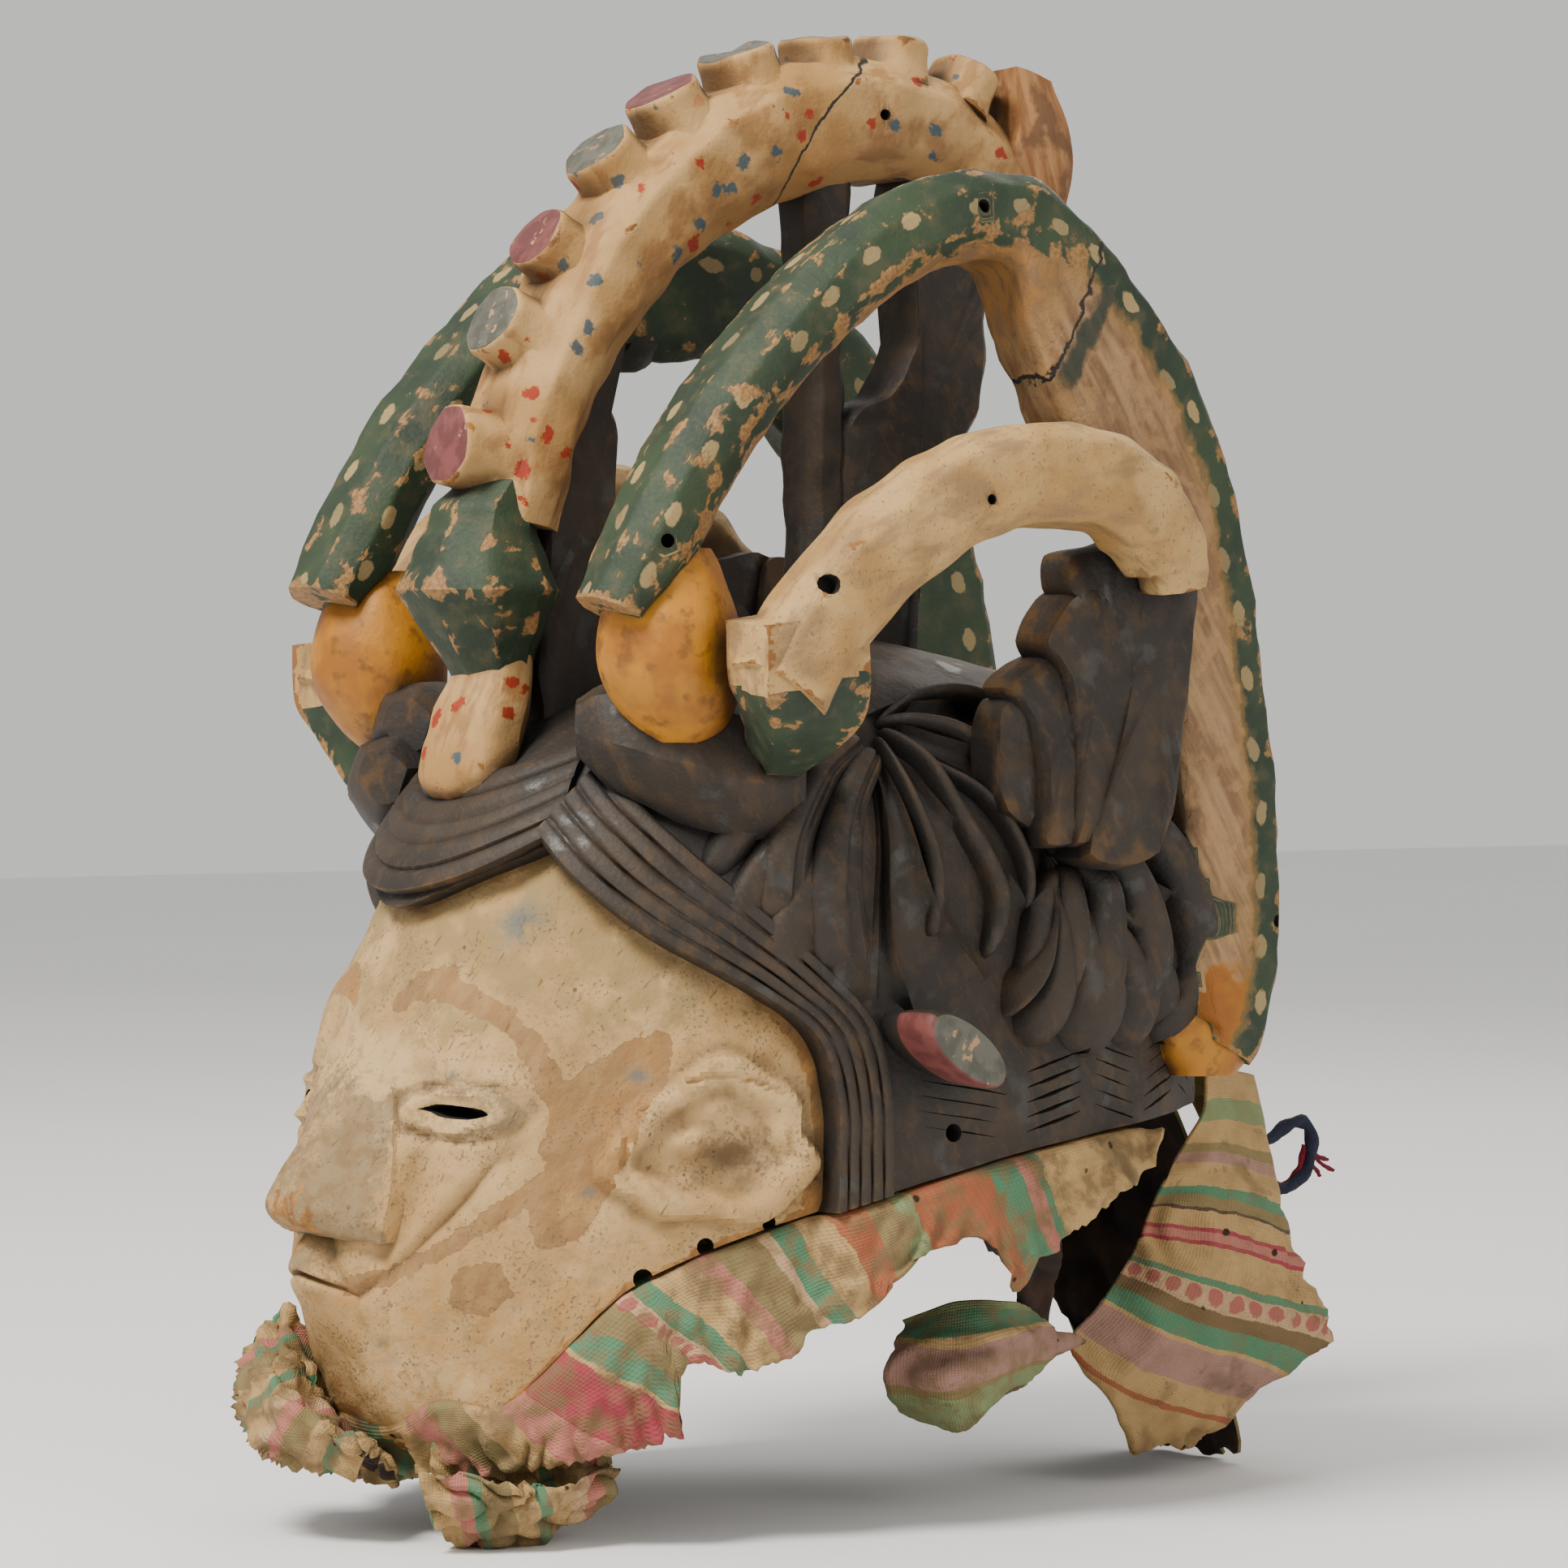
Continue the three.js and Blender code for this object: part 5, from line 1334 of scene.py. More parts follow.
yarn = [thread("yarn_loop", YARN, 2.3, "blue_yarn")]
yarn += [thread(f"yarn_red_{k}", rows, 0.8, "red_yarn", 6, 16) for k, rows in enumerate(THREADS)]
yarn.append(thread("yarn_red_inner", [[x - 1.5, y - 2.2, z] for x, y, z in YARN[4:]], 1.3, "red_yarn"))
for piece in yarn:
    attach(piece, "root")
    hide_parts("cloth_collar")
print("yarn pieces", len(yarn))

# %% [markdown]
# Marks of use and painted shade. The hollows and grooves are darkened with dirt and
# with painted shade, and paint wears off the edges.
# A node can find edges in one engine only, so every vertex gets numbers for the paint
# to read: how shut in it lies, how sharp an edge it is on, how deep in a groove.

# %% Hollows, edges and grooves
data = mask.data
points = read(data.vertices, "co", 3) / MM + DRAWING_ORIGIN
normals = read(data.vertex_normals, "vector", 3)
edges = read(data.edges, "vertices", 2, np.int64)


def spread(values, times):
    """Average with the neighbours along the edges."""
    for _ in range(times):
        total, count = values.copy(), np.ones(len(values))
        for a, b in ((0, 1), (1, 0)):
            np.add.at(total, edges[:, a], values[edges[:, b]])
            np.add.at(count, edges[:, a], 1)
        values = total / count
    return values


RAYS, REACH = 12, 34.0


def shelter():
    """How much of the open sky over each vertex is shut off by the carving nearby."""
    tree = BVHTree.FromPolygons((points * MM).tolist(), [p.vertices[:] for p in data.polygons])
    ways = unit(np.random.default_rng(4).normal(size=(RAYS, 3)))
    shut = np.zeros(len(points))
    starts = ((points + normals * 0.8) * MM).tolist()
    for way in ways:
        for k, (start, aim) in enumerate(zip(starts, (normals * 1.05 + way).tolist())):
            hit = tree.ray_cast(start, aim, REACH * MM)
            if hit[0] is not None:
                shut[k] += 1 - hit[3] / (REACH * MM)
    return shut / RAYS


# How shut in each vertex lies; the paint darkens these places with painted shade as well as dirt.
hollow = shelter()
way = points[edges[:, 1]] - points[edges[:, 0]]
way /= np.maximum(np.linalg.norm(way, axis=1), 0.05)[:, None]
bend = np.zeros(len(points))
number = np.zeros(len(points))
for a, sign in ((0, 1), (1, -1)):
    np.add.at(bend, edges[:, a], sign * (way * normals[edges[:, a]]).sum(1))
    np.add.at(number, edges[:, a], 1)
bend = -bend / np.maximum(number, 1)
store(mask, "edge", np.clip(spread(bend, 1) * 3.2, 0, 1))
store(mask, "groove", np.clip(-spread(bend, 2) * 4.0, 0, 1))
mask.data.set_sharp_from_angle(angle=math.radians(38))
print("hollow", round(float(hollow.mean()), 3))

# %% [markdown]
# The face has brown stains and a few grey smudges. They could be painted by hand, but
# strokes drawn by angle and height, like the relief, can be moved one by one.

# %% Stains and smudges
STAIN_STROKES = [
    ([[12, 202], [20, 203], [30, 197], [37, 186], [41, 172], [43, 160], [42, 152]], 3.6),
    ([[8, 198], [12, 205], [18, 208]], 3.6),
    ([[44, 150], [40, 138], [34, 128], [27, 118], [18, 110], [9, 105]], 3.0)]
STAIN_PATCHES = [
    [[42, 172], [49, 188], [54, 190], [55, 176], [53, 160], [50, 140], [47, 124], [42, 118], [39, 130],
     [44, 142], [40, 150]],
    [[30, 112], [36, 116], [38, 104], [34, 97], [28, 100]]]
SMUDGES = [([28, 226], 7.0), ([51, 176], 2.6), ([26, 176], 1.8), ([47, 138], 1.8), ([33, 66], 1.6), ([14, 84], 3.5)]


def inside_patch(angle, z, outline):
    corners = np.array(outline, float)
    crossings = np.zeros(angle.shape, int)
    for (a0, z0), (a1, z1) in zip(corners, np.roll(corners, -1, 0)):
        hit = (z0 > z) != (z1 > z)
        crossings += hit & (angle < a0 + (a1 - a0) * (z - z0) / (z1 - z0 if z1 != z0 else 1))
    return crossings % 2 == 1


x, y, height = points.T
angle = np.degrees(np.arctan2(x / profile(HEAD_SIDE, height), -y / profile(HEAD_FRONT, height)))
side_angle = np.abs(angle)
stain = np.zeros(len(points))
for stroke, wide in STAIN_STROKES:
    gap, _ = path_distance(side_angle, height, stroke, 24)
    stain = np.maximum(stain, 1 - step(gap, wide * 0.4, wide * 1.5))
for outline in STAIN_PATCHES:
    stain = np.maximum(stain, inside_patch(side_angle, height, outline).astype(float))
smudge = np.zeros(len(points))
for (a, z), size in SMUDGES:
    smudge = np.maximum(smudge, bump(np.hypot((angle - a) * PACE, height - z), size))
store(mask, "stain", spread(stain, 2))
store(mask, "smudge", smudge)
print("stain", round(float(stain.mean()), 3), "smudge", round(float(smudge.mean()), 3))

# %% [markdown]
# Bare wood, grime and painted shade. Orange wood shows along the hairline, at the rim and on the tip
# of the nose. Grime and painted shade lie on the nose, more on its sides than on its ridge,
# on the lips, round the eyes and in the ear.

# %% Bare edges, grime and painted shade
hair_edge = np.array(sorted(HAIRLINE_SIDE, key=lambda row: row[1]), float)
hairline_gap = np.abs(np.interp(height, hair_edge[:, 1], hair_edge[:, 0]) - y) * 0.75
front_gap = np.abs(height - np.interp(np.abs(x), *np.array(TONGUE_EDGE[4:]).T))
rim_gap = np.abs(height - rim_height(y))
bare = np.maximum(1 - step(hairline_gap, 2.0, 7.5), 0.8 * (1 - step(rim_gap, 0.5, 5.0)))
bare = np.maximum(bare, (1 - step(front_gap, 1.0, 4.0)) * (np.abs(x) < TONGUE_EDGE[-1][0]))
nose_tip = bump(np.hypot(x - 2, np.hypot(y + 203, height - 126)), 17)
proud = np.hypot(x, y) - np.hypot(*skin(angle, height)[:, :2].T)
on_nose = (np.abs(x) < 31) * step(height, 116, 122) * (1 - step(height, 186, 200)) * step(proud, 0.5, 3.0)
on_lips = bump(x, 22) * bump(height - 114, 9) * (y < -150)
eye_gap = np.hypot((side_angle - EYE[0]) * PACE / EYE_HALF[0], (height - EYE[1]) / EYE_HALF[1])
# Grime mixed with painted shade: darker on the sides of the nose than on its ridge, on the lips, round the eyes and in
# the ear.
grime_and_shade = np.maximum(on_nose * (0.6 + 0.3 * step(np.abs(x), 6, 12)), 0.75 * on_lips)
grime_and_shade = np.maximum(grime_and_shade, 0.8 * bump(eye_gap - 1.15, 0.35))
ear_gap = np.hypot((side_angle - EAR[0]) * EAR_PACE - 2, height - EAR[1] + 3)
grime_and_shade = np.maximum(grime_and_shade, 0.8 * bump(ear_gap, 12))
# The pit of the ear counts as more shut in, so it gets more painted shade.
hollow = np.maximum(spread(hollow, 1) * 1.7, 1.1 * bump(ear_gap, 4.5))
store(mask, "grime_and_shade", spread(grime_and_shade, 2))
store(mask, "hollow", np.clip(hollow, 0, 1))
store(mask, "bare", np.clip(bare + 0.7 * nose_tip, 0, 1))
print("bare", round(float(bare.mean()), 3))

# %% [markdown]
# Writing paint. A small class stands for one socket of a node tree, so that a mask
# can be written as plain arithmetic. Anything that isn't arithmetic is made by one
# method that takes the node's kind, its settings and what goes into its sockets.

# %% Node arithmetic


class Value:
    """One output socket, which can be reckoned with."""

    def __init__(self, tree, socket):
        self.tree, self.socket = tree, socket

    def node(self, kind, settings=None, inputs=None, output=0):
        made = self.tree.nodes.new("ShaderNode" + kind)
        for name, value in (settings or {}).items():
            setattr(made, name, value)
        for name, value in (inputs or {}).items():
            if isinstance(value, Value):
                self.tree.links.new(value.socket, made.inputs[name])
            else:
                made.inputs[name].default_value = value
        return Value(self.tree, made.outputs[output])

    def math(self, operation, *values):
        return self.node("Math", {"operation": operation}, dict(enumerate(values)))

    def __add__(self, other):
        return self.math("ADD", self, other)

    def __sub__(self, other):
        return self.math("SUBTRACT", self, other)

    def __rsub__(self, other):
        return self.math("SUBTRACT", other, self)

    def __mul__(self, other):
        return self.math("MULTIPLY", self, other)

    __radd__, __rmul__ = __add__, __mul__

    def between(self, low, high):
        """0 below low, 1 above high and a soft step from one to the other."""
        return self.node("MapRange", {"interpolation_type": "SMOOTHSTEP"},
                         {"Value": self, "From Min": low, "From Max": high})

    def wrap(self, length):
        return self.math("PINGPONG", self, length)

    def mix(self, first, second):
        """first where this is 0 and second where it is 1, both colours."""
        given = [v if isinstance(v, Value) else (*v, 1.0) for v in (first, second)]
        return self.node("Mix", {"data_type": "RGBA"}, {0: self, 6: given[0], 7: given[1]}, 2)


class Paint(Value):
    """The node tree of one material, with the coordinates of its object."""

    def __init__(self, material):
        material.use_nodes = True
        tree = material.node_tree
        super().__init__(tree, None)
        self.skin = tree.nodes["Principled BSDF"]
        self.place = self.node("TexCoord", output=3)

    def stretched(self, scale, turn=(0.0, 0.0, 0.0)):
        sockets = {"Vector": self.place, "Rotation": turn, "Scale": scale}
        return self.node("Mapping", {"vector_type": "TEXTURE"}, sockets)

    def noise(self, size, detail=3.0, place=None, rough=0.55):
        """Noise with spots about size millimetres wide."""
        return self.node("TexNoise", None, {"Vector": place or self.place, "Scale": 1 / (size * MM),
                                            "Detail": detail, "Roughness": rough})

    def cells(self, size, place=None, output=0):
        return self.node("TexVoronoi", None, {"Vector": place or self.place, "Scale": 1 / (size * MM)}, output)

    def mark(self, name):
        """One of the numbers that were stored with the mesh."""
        return self.node("Attribute", {"attribute_name": name}, output=2)

    def shade_and_dirt(self, colour, low, high, much, dark, cut, darkest):
        """Dirt and painted shade in the hollows, and more of both in the grooves."""
        colour = (self.mark("hollow").between(low, high) * much).mix(colour, dark)
        return (self.mark("groove") * cut).mix(colour, darkest)

    def finish(self, colour, roughness, height=None, strength=0.3, depth=0.5, rich=1.42, light=0.80):
        """Film softens colours, so every colour is laid on a little richer and deeper."""
        links = self.tree.links
        colour = self.node("HueSaturation", None, {"Saturation": rich, "Value": light, "Color": colour})
        links.new(colour.socket, self.skin.inputs["Base Color"])
        if isinstance(roughness, Value):
            links.new(roughness.socket, self.skin.inputs["Roughness"])
        else:
            self.skin.inputs["Roughness"].default_value = roughness
        if height is not None:
            bumped = self.node("Bump", None, {"Strength": strength, "Distance": depth * MM, "Height": height})
            links.new(bumped.socket, self.skin.inputs["Normal"])


print("paint tools ready")

# %% [markdown]
# The face. Cream kaolin, rubbed and speckled, lies over orange wood. The stains have
# ragged edges, because noise is added to the mark before it is cut off.

# %% Kaolin
paint = Paint(finish["kaolin_face"])
broad, ragged_noise, fine = paint.noise(46), paint.noise(7, 6.0), paint.noise(1.3, 2.0)
height = paint.node("SeparateXYZ", None, {"Vector": paint.place}, 2)
colour = broad.between(0.36, 0.64).mix((0.53, 0.365, 0.205), (0.68, 0.495, 0.300))
wash = (paint.noise(17, 6.0) * 0.7 + height.between(0.13, 0.21) * 0.16).between(0.42, 0.53)
colour = (wash * 0.75).mix(colour, (0.33, 0.25, 0.135))
strokes = paint.noise(4.5, 4.0, paint.stretched((0.9, 6.0, 1.1), (0.75, 0.0, 0.0)))
lower = 1.0 - height.between(0.075, 0.125)
colour = (strokes.between(0.46, 0.66) * (lower * 0.38 + 0.10)).mix(colour, (0.56, 0.33, 0.16))
mottle = paint.noise(5.5, 6.0, rough=0.7)
colour = (mottle.between(0.50, 0.62) * 0.55).mix(colour, (0.40, 0.28, 0.145))
# Grime and painted shade on the nose, the lips, round the eyes and in the ear.
grime_and_shade_mask = (paint.mark("grime_and_shade") + (mottle - 0.5) * 1.6 + (fine - 0.5) * 0.5).between(0.30, 0.75)
grime_and_shade = ragged_noise.between(0.4, 0.6).mix((0.27, 0.215, 0.14), (0.20, 0.14, 0.085))
colour = (grime_and_shade_mask * 0.75).mix(colour, grime_and_shade)
stain_mask = paint.mark("stain") + (ragged_noise - 0.5) * 1.5 + (paint.noise(2.2, 4.0) - 0.5) * 0.7
stain_mask = stain_mask.between(0.44, 0.54)
brown = broad.between(0.4, 0.6).mix((0.30, 0.185, 0.105), (0.40, 0.235, 0.12))
colour = (stain_mask * (strokes.between(0.35, 0.6) * 0.3 + 0.6)).mix(colour, brown)
bare_mask = (paint.mark("bare") + (ragged_noise - 0.5) * 1.8).between(0.46, 0.62)
colour = (bare_mask * 0.85).mix(colour, strokes.between(0.35, 0.65).mix((0.48, 0.27, 0.13), (0.27, 0.135, 0.065)))
colour = (paint.mark("smudge") * ragged_noise.between(0.35, 0.5) * 0.85).mix(colour, (0.13, 0.15, 0.145))
speckle = fine.between(0.57, 0.64) * paint.noise(15, 4.0).between(0.44, 0.58)
colour = (speckle * 0.7).mix(colour, (0.17, 0.12, 0.075))
scratch = paint.noise(2.6, 5.0, paint.stretched((0.5, 3.5, 0.7), (1.1, 0.3, 0.0))).between(0.66, 0.70)
colour = (scratch * 0.6).mix(colour, (0.15, 0.09, 0.05))
# Painted shade and dirt darken the hollows and grooves of the face.
colour = paint.shade_and_dirt(colour, 0.05, 0.75, 0.75, (0.15, 0.10, 0.055), 0.85, (0.13, 0.085, 0.05))
pits = paint.cells(9.0).between(0.06, 0.1)
colour = ((1.0 - pits) * paint.noise(30).between(0.5, 0.6) * 0.8).mix(colour, (0.08, 0.055, 0.04))
height = fine * 0.45 + ragged_noise * 1.1 + pits * 0.5 + mottle * 0.8 - stain_mask * 0.5 - scratch * 0.5
paint.finish(colour, 0.8, height, 0.6, 0.9, rich=1.26, light=0.75)
print("kaolin", len(paint.tree.nodes), "nodes")

# %% [markdown]
# The hair is stained brown-black. It has bluish patches of painted sheen that are also a
# little less rough, its hollows are painted nearly black as shade, and light wood shows
# along the ridges.

# %% Dark hair
paint = Paint(finish["dark_hair"])
broad, medium, fine = paint.noise(36), paint.noise(9, 5.0), paint.noise(1.6, 3.0)
colour = broad.between(0.38, 0.62).mix((0.026, 0.019, 0.014), (0.052, 0.038, 0.027))
fibre = paint.noise(3.2, 4.0, paint.stretched((1.0, 1.0, 5.0), (0.5, 0.2, 0.0)))
colour = (medium.between(0.50, 0.66) * 0.6).mix(colour, (0.085, 0.058, 0.037))
colour = (fibre.between(0.55, 0.68) * 0.5).mix(colour, (0.11, 0.072, 0.044))
# Bluish patches are painted sheen, and the same patches are made less rough below.
bluish_sheen = paint.noise(16, 4.0).between(0.58, 0.68)
colour = (bluish_sheen * 0.4).mix(colour, (0.055, 0.063, 0.062))
rub = (paint.mark("edge") + (medium - 0.5) * 0.9 + (fibre - 0.5) * 0.5).between(0.42, 0.72)
colour = (rub * 0.5).mix(colour, (0.20, 0.125, 0.07))
colour = (fine.between(0.64, 0.70) * 0.5).mix(colour, (0.14, 0.095, 0.06))
# The hollows and grooves are painted nearly black: painted shade, with some dirt.
colour = paint.shade_and_dirt(colour, 0.08, 0.6, 0.85, (0.008, 0.006, 0.005), 0.8, (0.008, 0.006, 0.005))
height = fine * 0.5 + medium * 0.9 + fibre * 0.4
paint.finish(colour, 0.60 - bluish_sheen * 0.2 + fine * 0.12, height, 0.5, 0.9, rich=1.5, light=0.52)

# The cavity, the eye slits and the holes are painted nearly black as shade.
paint = Paint(finish["dark_hollow"])
colour = paint.noise(18).between(0.4, 0.6).mix((0.007, 0.005, 0.004), (0.018, 0.012, 0.008))
paint.finish(colour, 0.85, paint.noise(6, 4.0), 0.4, 1.0)
print("hair and hollow done")

# %% [markdown]
# Ovals, chips and cracks. Cream ovals run along each green arch in two rows. A pattern
# of cells wouldn't keep a line, so they are placed by how far along its arch a point
# lies. So is a crack, which is a dark line with a dent in the paint.

# %% Ovals, chips and cracks
OVAL_PACE, OVAL_LONG, OVAL_WIDE = 24.0, 4.6, 2.7
GREEN_CRACK, CREST_CRACK = 283.0, 256.0  # as along counts them, which is START where a bar starts


def ovals(paint, shift, place, shut):
    """One row of small ovals round the line where place is nought."""
    cell = paint.mark("along") * (1 / OVAL_PACE) + shift
    whole = cell.math("FLOOR", cell)
    jitter = paint.node("TexWhiteNoise", {"noise_dimensions": "1D"}, {"W": whole + shift * 7}, 0)
    da = (cell - whole - 0.5 + (jitter - 0.5) * 0.35) * (OVAL_PACE / OVAL_LONG)
    dr = (place + (jitter - 0.5) * 5) * (1 / OVAL_WIDE)
    spot = (da * da + dr * dr + (paint.noise(2.5, 4.0) - 0.5) * 1.6).between(0.75, 1.15)
    return (1.0 - spot) * shut * (jitter * 0.5 + 0.55) * paint.mark("along").between(8.0, 12.0)


def chipped(paint, colour, ground, amount, size=10):
    """Paint worn off the edges and in patches, down to the ground."""
    medium = paint.noise(size, 6.0)
    worn = paint.mark("edge") + (medium - 0.5) * 1.7 + (paint.noise(2.4, 3.0) - 0.5) * 0.6 + amount
    worn = worn.between(0.42, 0.54)
    return worn, worn.mix(colour, ground)


def crack(paint, start, slant, wobble, wide):
    """A split right across a bar, at start millimetres along it and slanting inwards."""
    line = paint.mark("along") + paint.mark("inward") * slant + (paint.noise(9, 4.0) - 0.5) * wobble - start
    return 1.0 - line.math("ABSOLUTE", line).between(wide * 0.4, wide)


print("an oval stands every", OVAL_PACE, "mm")

# %% [markdown]
# Green arches. The green is thin and chipped down to an ochre ground. The inner side
# is bare, the rear board has only a green outer edge, and its foot is yellow. Two
# materials would meet in a hard seam, so one finish holds all of this.

# %% Green arches
BOARD, FOOT = (262, 300), (560, 570)  # where the board and its foot begin, as along counts
CREAM = (0.42, 0.31, 0.165)
paint = Paint(finish["green_paint"])
broad, medium, fine = paint.noise(32), paint.noise(8, 6.0), paint.noise(1.5, 3.0)
along, inward = paint.mark("along"), paint.mark("inward")
near_side = paint.node("SeparateXYZ", None, {"Vector": paint.place}, 0).between(-0.001, 0.001)
tone = broad.between(0.35, 0.65).mix((0.012, 0.025, 0.011), (0.028, 0.048, 0.020))
tone = (medium.between(0.48, 0.68) * 0.6).mix(tone, (0.070, 0.062, 0.030))
tone = (ovals(paint, 0.0, paint.mark("across"), 1.0 - inward.between(3, 6)) * 0.85).mix(tone, CREAM)
tone = (ovals(paint, 0.5, inward - 12.0, inward.between(4, 6)) * 0.85).mix(tone, CREAM)
bar_only = along.between(4, 8)
stroke = paint.noise(3.5, 4.0, paint.stretched((1.0, 4.0, 3.0), (0.8, 0.0, 0.0)))
edge_wear = inward.between(10, 24) * bar_only * 0.26 * near_side
worn = (paint.mark("edge") + (medium - 0.5) * 1.4 + (stroke - 0.5) * 1.6 + edge_wear + 0.11).between(0.44, 0.56)
tone = worn.mix(tone, fine.between(0.4, 0.6).mix((0.34, 0.205, 0.095), (0.22, 0.125, 0.06)))
board = along.between(*BOARD)
grain = paint.noise(4.5, 4.0, paint.stretched((1.0, 1.0, 9.0), (0.55, 0.0, 0.0)))
planks = grain.between(0.35, 0.7).mix((0.20, 0.115, 0.062), (0.40, 0.265, 0.15))
inner_edge = stroke.between(0.4, 0.62).mix((0.32, 0.175, 0.075), (0.19, 0.115, 0.06))
ground = board.mix(inner_edge, (medium.between(0.45, 0.65) * 0.6).mix(planks, (0.46, 0.29, 0.155)))
foot = (along + (medium - 0.5) * 30).between(*FOOT)
ground = foot.mix(ground, broad.between(0.4, 0.6).mix((0.40, 0.135, 0.010), (0.30, 0.10, 0.010)))
past_paint = inward + (medium - 0.5) * 10 + (fine - 0.5) * 3 - ((1.0 - board) * 9 + 17)
bare = past_paint.between(-1.0, 1.0) * bar_only * near_side
rim_line = (1.0 - past_paint.math("ABSOLUTE", past_paint).between(1.0, 4.0)) * board * bar_only * near_side
tone = bare.mix(tone, ground)
tone = (rim_line * 0.5).mix(tone, (0.30, 0.18, 0.075))
split = crack(paint, GREEN_CRACK, -0.36, 16.0, 1.6) * near_side
drip = crack(paint, GREEN_CRACK + 11, -0.25, 14.0, 6.0) * inward.between(9, 14) * (1.0 - inward.between(50, 58))
drip = drip * near_side
tone = (drip * 0.9).mix(tone, (0.012, 0.026, 0.016))
tone = split.mix(tone, (0.010, 0.007, 0.005))
# Painted shade and dirt darken the hollows and grooves of the arches.
tone = paint.shade_and_dirt(tone, 0.1, 0.8, 0.75, (0.015, 0.013, 0.009), 0.7, (0.02, 0.016, 0.011))
height = medium * 0.8 + fine * 0.5 + stroke * 0.4 - worn * 0.5 - split * 3.0
paint.finish(tone, 0.58 + fine * 0.2, height, 0.5, 0.9, rich=1.18, light=0.82)
print("green arches painted")

# %% [markdown]
# The crest carries small red and blue touches over cream. They are cells of a Voronoi
# pattern, whose own number tells whether they are red, blue or left bare.

# %% Crest
paint = Paint(finish["crest_paint"])
broad, medium, fine = paint.noise(34), paint.noise(8, 6.0), paint.noise(1.5, 3.0)
colour = broad.between(0.38, 0.62).mix((0.44, 0.275, 0.14), (0.58, 0.395, 0.22))
stroke = paint.noise(5, 5.0, paint.stretched((1.0, 4.0, 2.6), (0.9, 0.0, 0.0)))
colour = (stroke.between(0.48, 0.64) * 0.75).mix(colour, (0.31, 0.17, 0.085))
low = (paint.mark("inward") + (medium - 0.5) * 26 + (stroke - 0.5) * 20).between(14, 30)
colour = (low * 0.6).mix(colour, stroke.between(0.35, 0.65).mix((0.33, 0.18, 0.085), (0.19, 0.105, 0.055)))
swirl = paint.node("TexNoise", None, {"Vector": paint.place, "Scale": 140.0}, 1)
swirl = paint.node("VectorMath", {"operation": "SCALE"}, {0: swirl, "Scale": 0.006})
warped = paint.node("VectorMath", {"operation": "ADD"}, {0: paint.place, 1: swirl})
touch = paint.cells(12.0, warped)
kind = paint.node("SeparateColor", None, {"Color": paint.cells(12.0, warped, 1)}, 0)
dots = 1.0 - (touch + (fine - 0.5) * 0.3).between(0.19, 0.26)
colour = (dots * kind.between(0.49, 0.5) * 0.9).mix(colour, (0.34, 0.030, 0.022))
colour = (dots * (1.0 - kind.between(0.27, 0.28)) * 0.9).mix(colour, (0.025, 0.065, 0.085))
worn, colour = chipped(paint, colour, medium.between(0.4, 0.6).mix((0.34, 0.165, 0.07), (0.17, 0.085, 0.04)), -0.10)
# Painted shade and dirt darken the hollows and grooves of the crest.
colour = paint.shade_and_dirt(colour, 0.05, 0.7, 0.8, (0.09, 0.05, 0.026), 0.8, (0.09, 0.055, 0.03))
split = crack(paint, CREST_CRACK, 1.5, 12.0, 1.6)
colour = split.mix(colour, (0.012, 0.008, 0.005))
height = medium + fine * 0.5 + stroke * 0.5 - worn * 0.3 - split * 3.0
paint.finish(colour, 0.72, height, 0.5, 0.9, rich=1.25, light=0.78)
print("crest", len(paint.tree.nodes), "nodes")

# %% [markdown]
# The side arches are the crest's cream gone ochre, the pads are orange-yellow and the
# caps pink or grey green. chipped() wears the arches and the caps down to the wood.

# %% Side arches, pads and caps
paint = Paint(finish["ochre_arch"])
broad, medium, fine = paint.noise(30), paint.noise(7, 6.0), paint.noise(1.4, 3.0)
colour = broad.between(0.36, 0.64).mix((0.42, 0.265, 0.13), (0.57, 0.395, 0.21))
stroke = paint.noise(5, 5.0, paint.stretched((1.0, 5.0, 2.0), (0.2, 0.0, 0.0)))
colour = (stroke.between(0.46, 0.64) * 0.75).mix(colour, (0.28, 0.185, 0.105))
colour = (fine.between(0.60, 0.68) * 0.6).mix(colour, (0.15, 0.095, 0.055))
worn, colour = chipped(paint, colour, (0.27, 0.135, 0.06), -0.10)
# Painted shade and dirt darken the hollows and grooves of the side arches.
colour = paint.shade_and_dirt(colour, 0.05, 0.7, 0.8, (0.08, 0.045, 0.024), 0.8, (0.07, 0.045, 0.025))
paint.finish(colour, 0.7, medium + fine * 0.5 + stroke * 0.4, 0.5, 0.9, rich=1.22)

paint = Paint(finish["yellow_paint"])
broad, medium, fine = paint.noise(20), paint.noise(7, 6.0), paint.noise(1.5, 3.0)
colour = broad.between(0.36, 0.62).mix((0.40, 0.135, 0.002), (0.60, 0.240, 0.003))
colour = (medium.between(0.52, 0.66) * 0.7).mix(colour, (0.20, 0.075, 0.008))
# Painted shade and dirt darken the hollows and grooves of the pads.
colour = paint.shade_and_dirt(colour, 0.1, 0.8, 0.8, (0.05, 0.022, 0.008), 0.9, (0.03, 0.016, 0.008))
paint.finish(colour, 0.5 + fine * 0.15, medium + fine * 0.5, 0.4, 0.7, light=0.68)

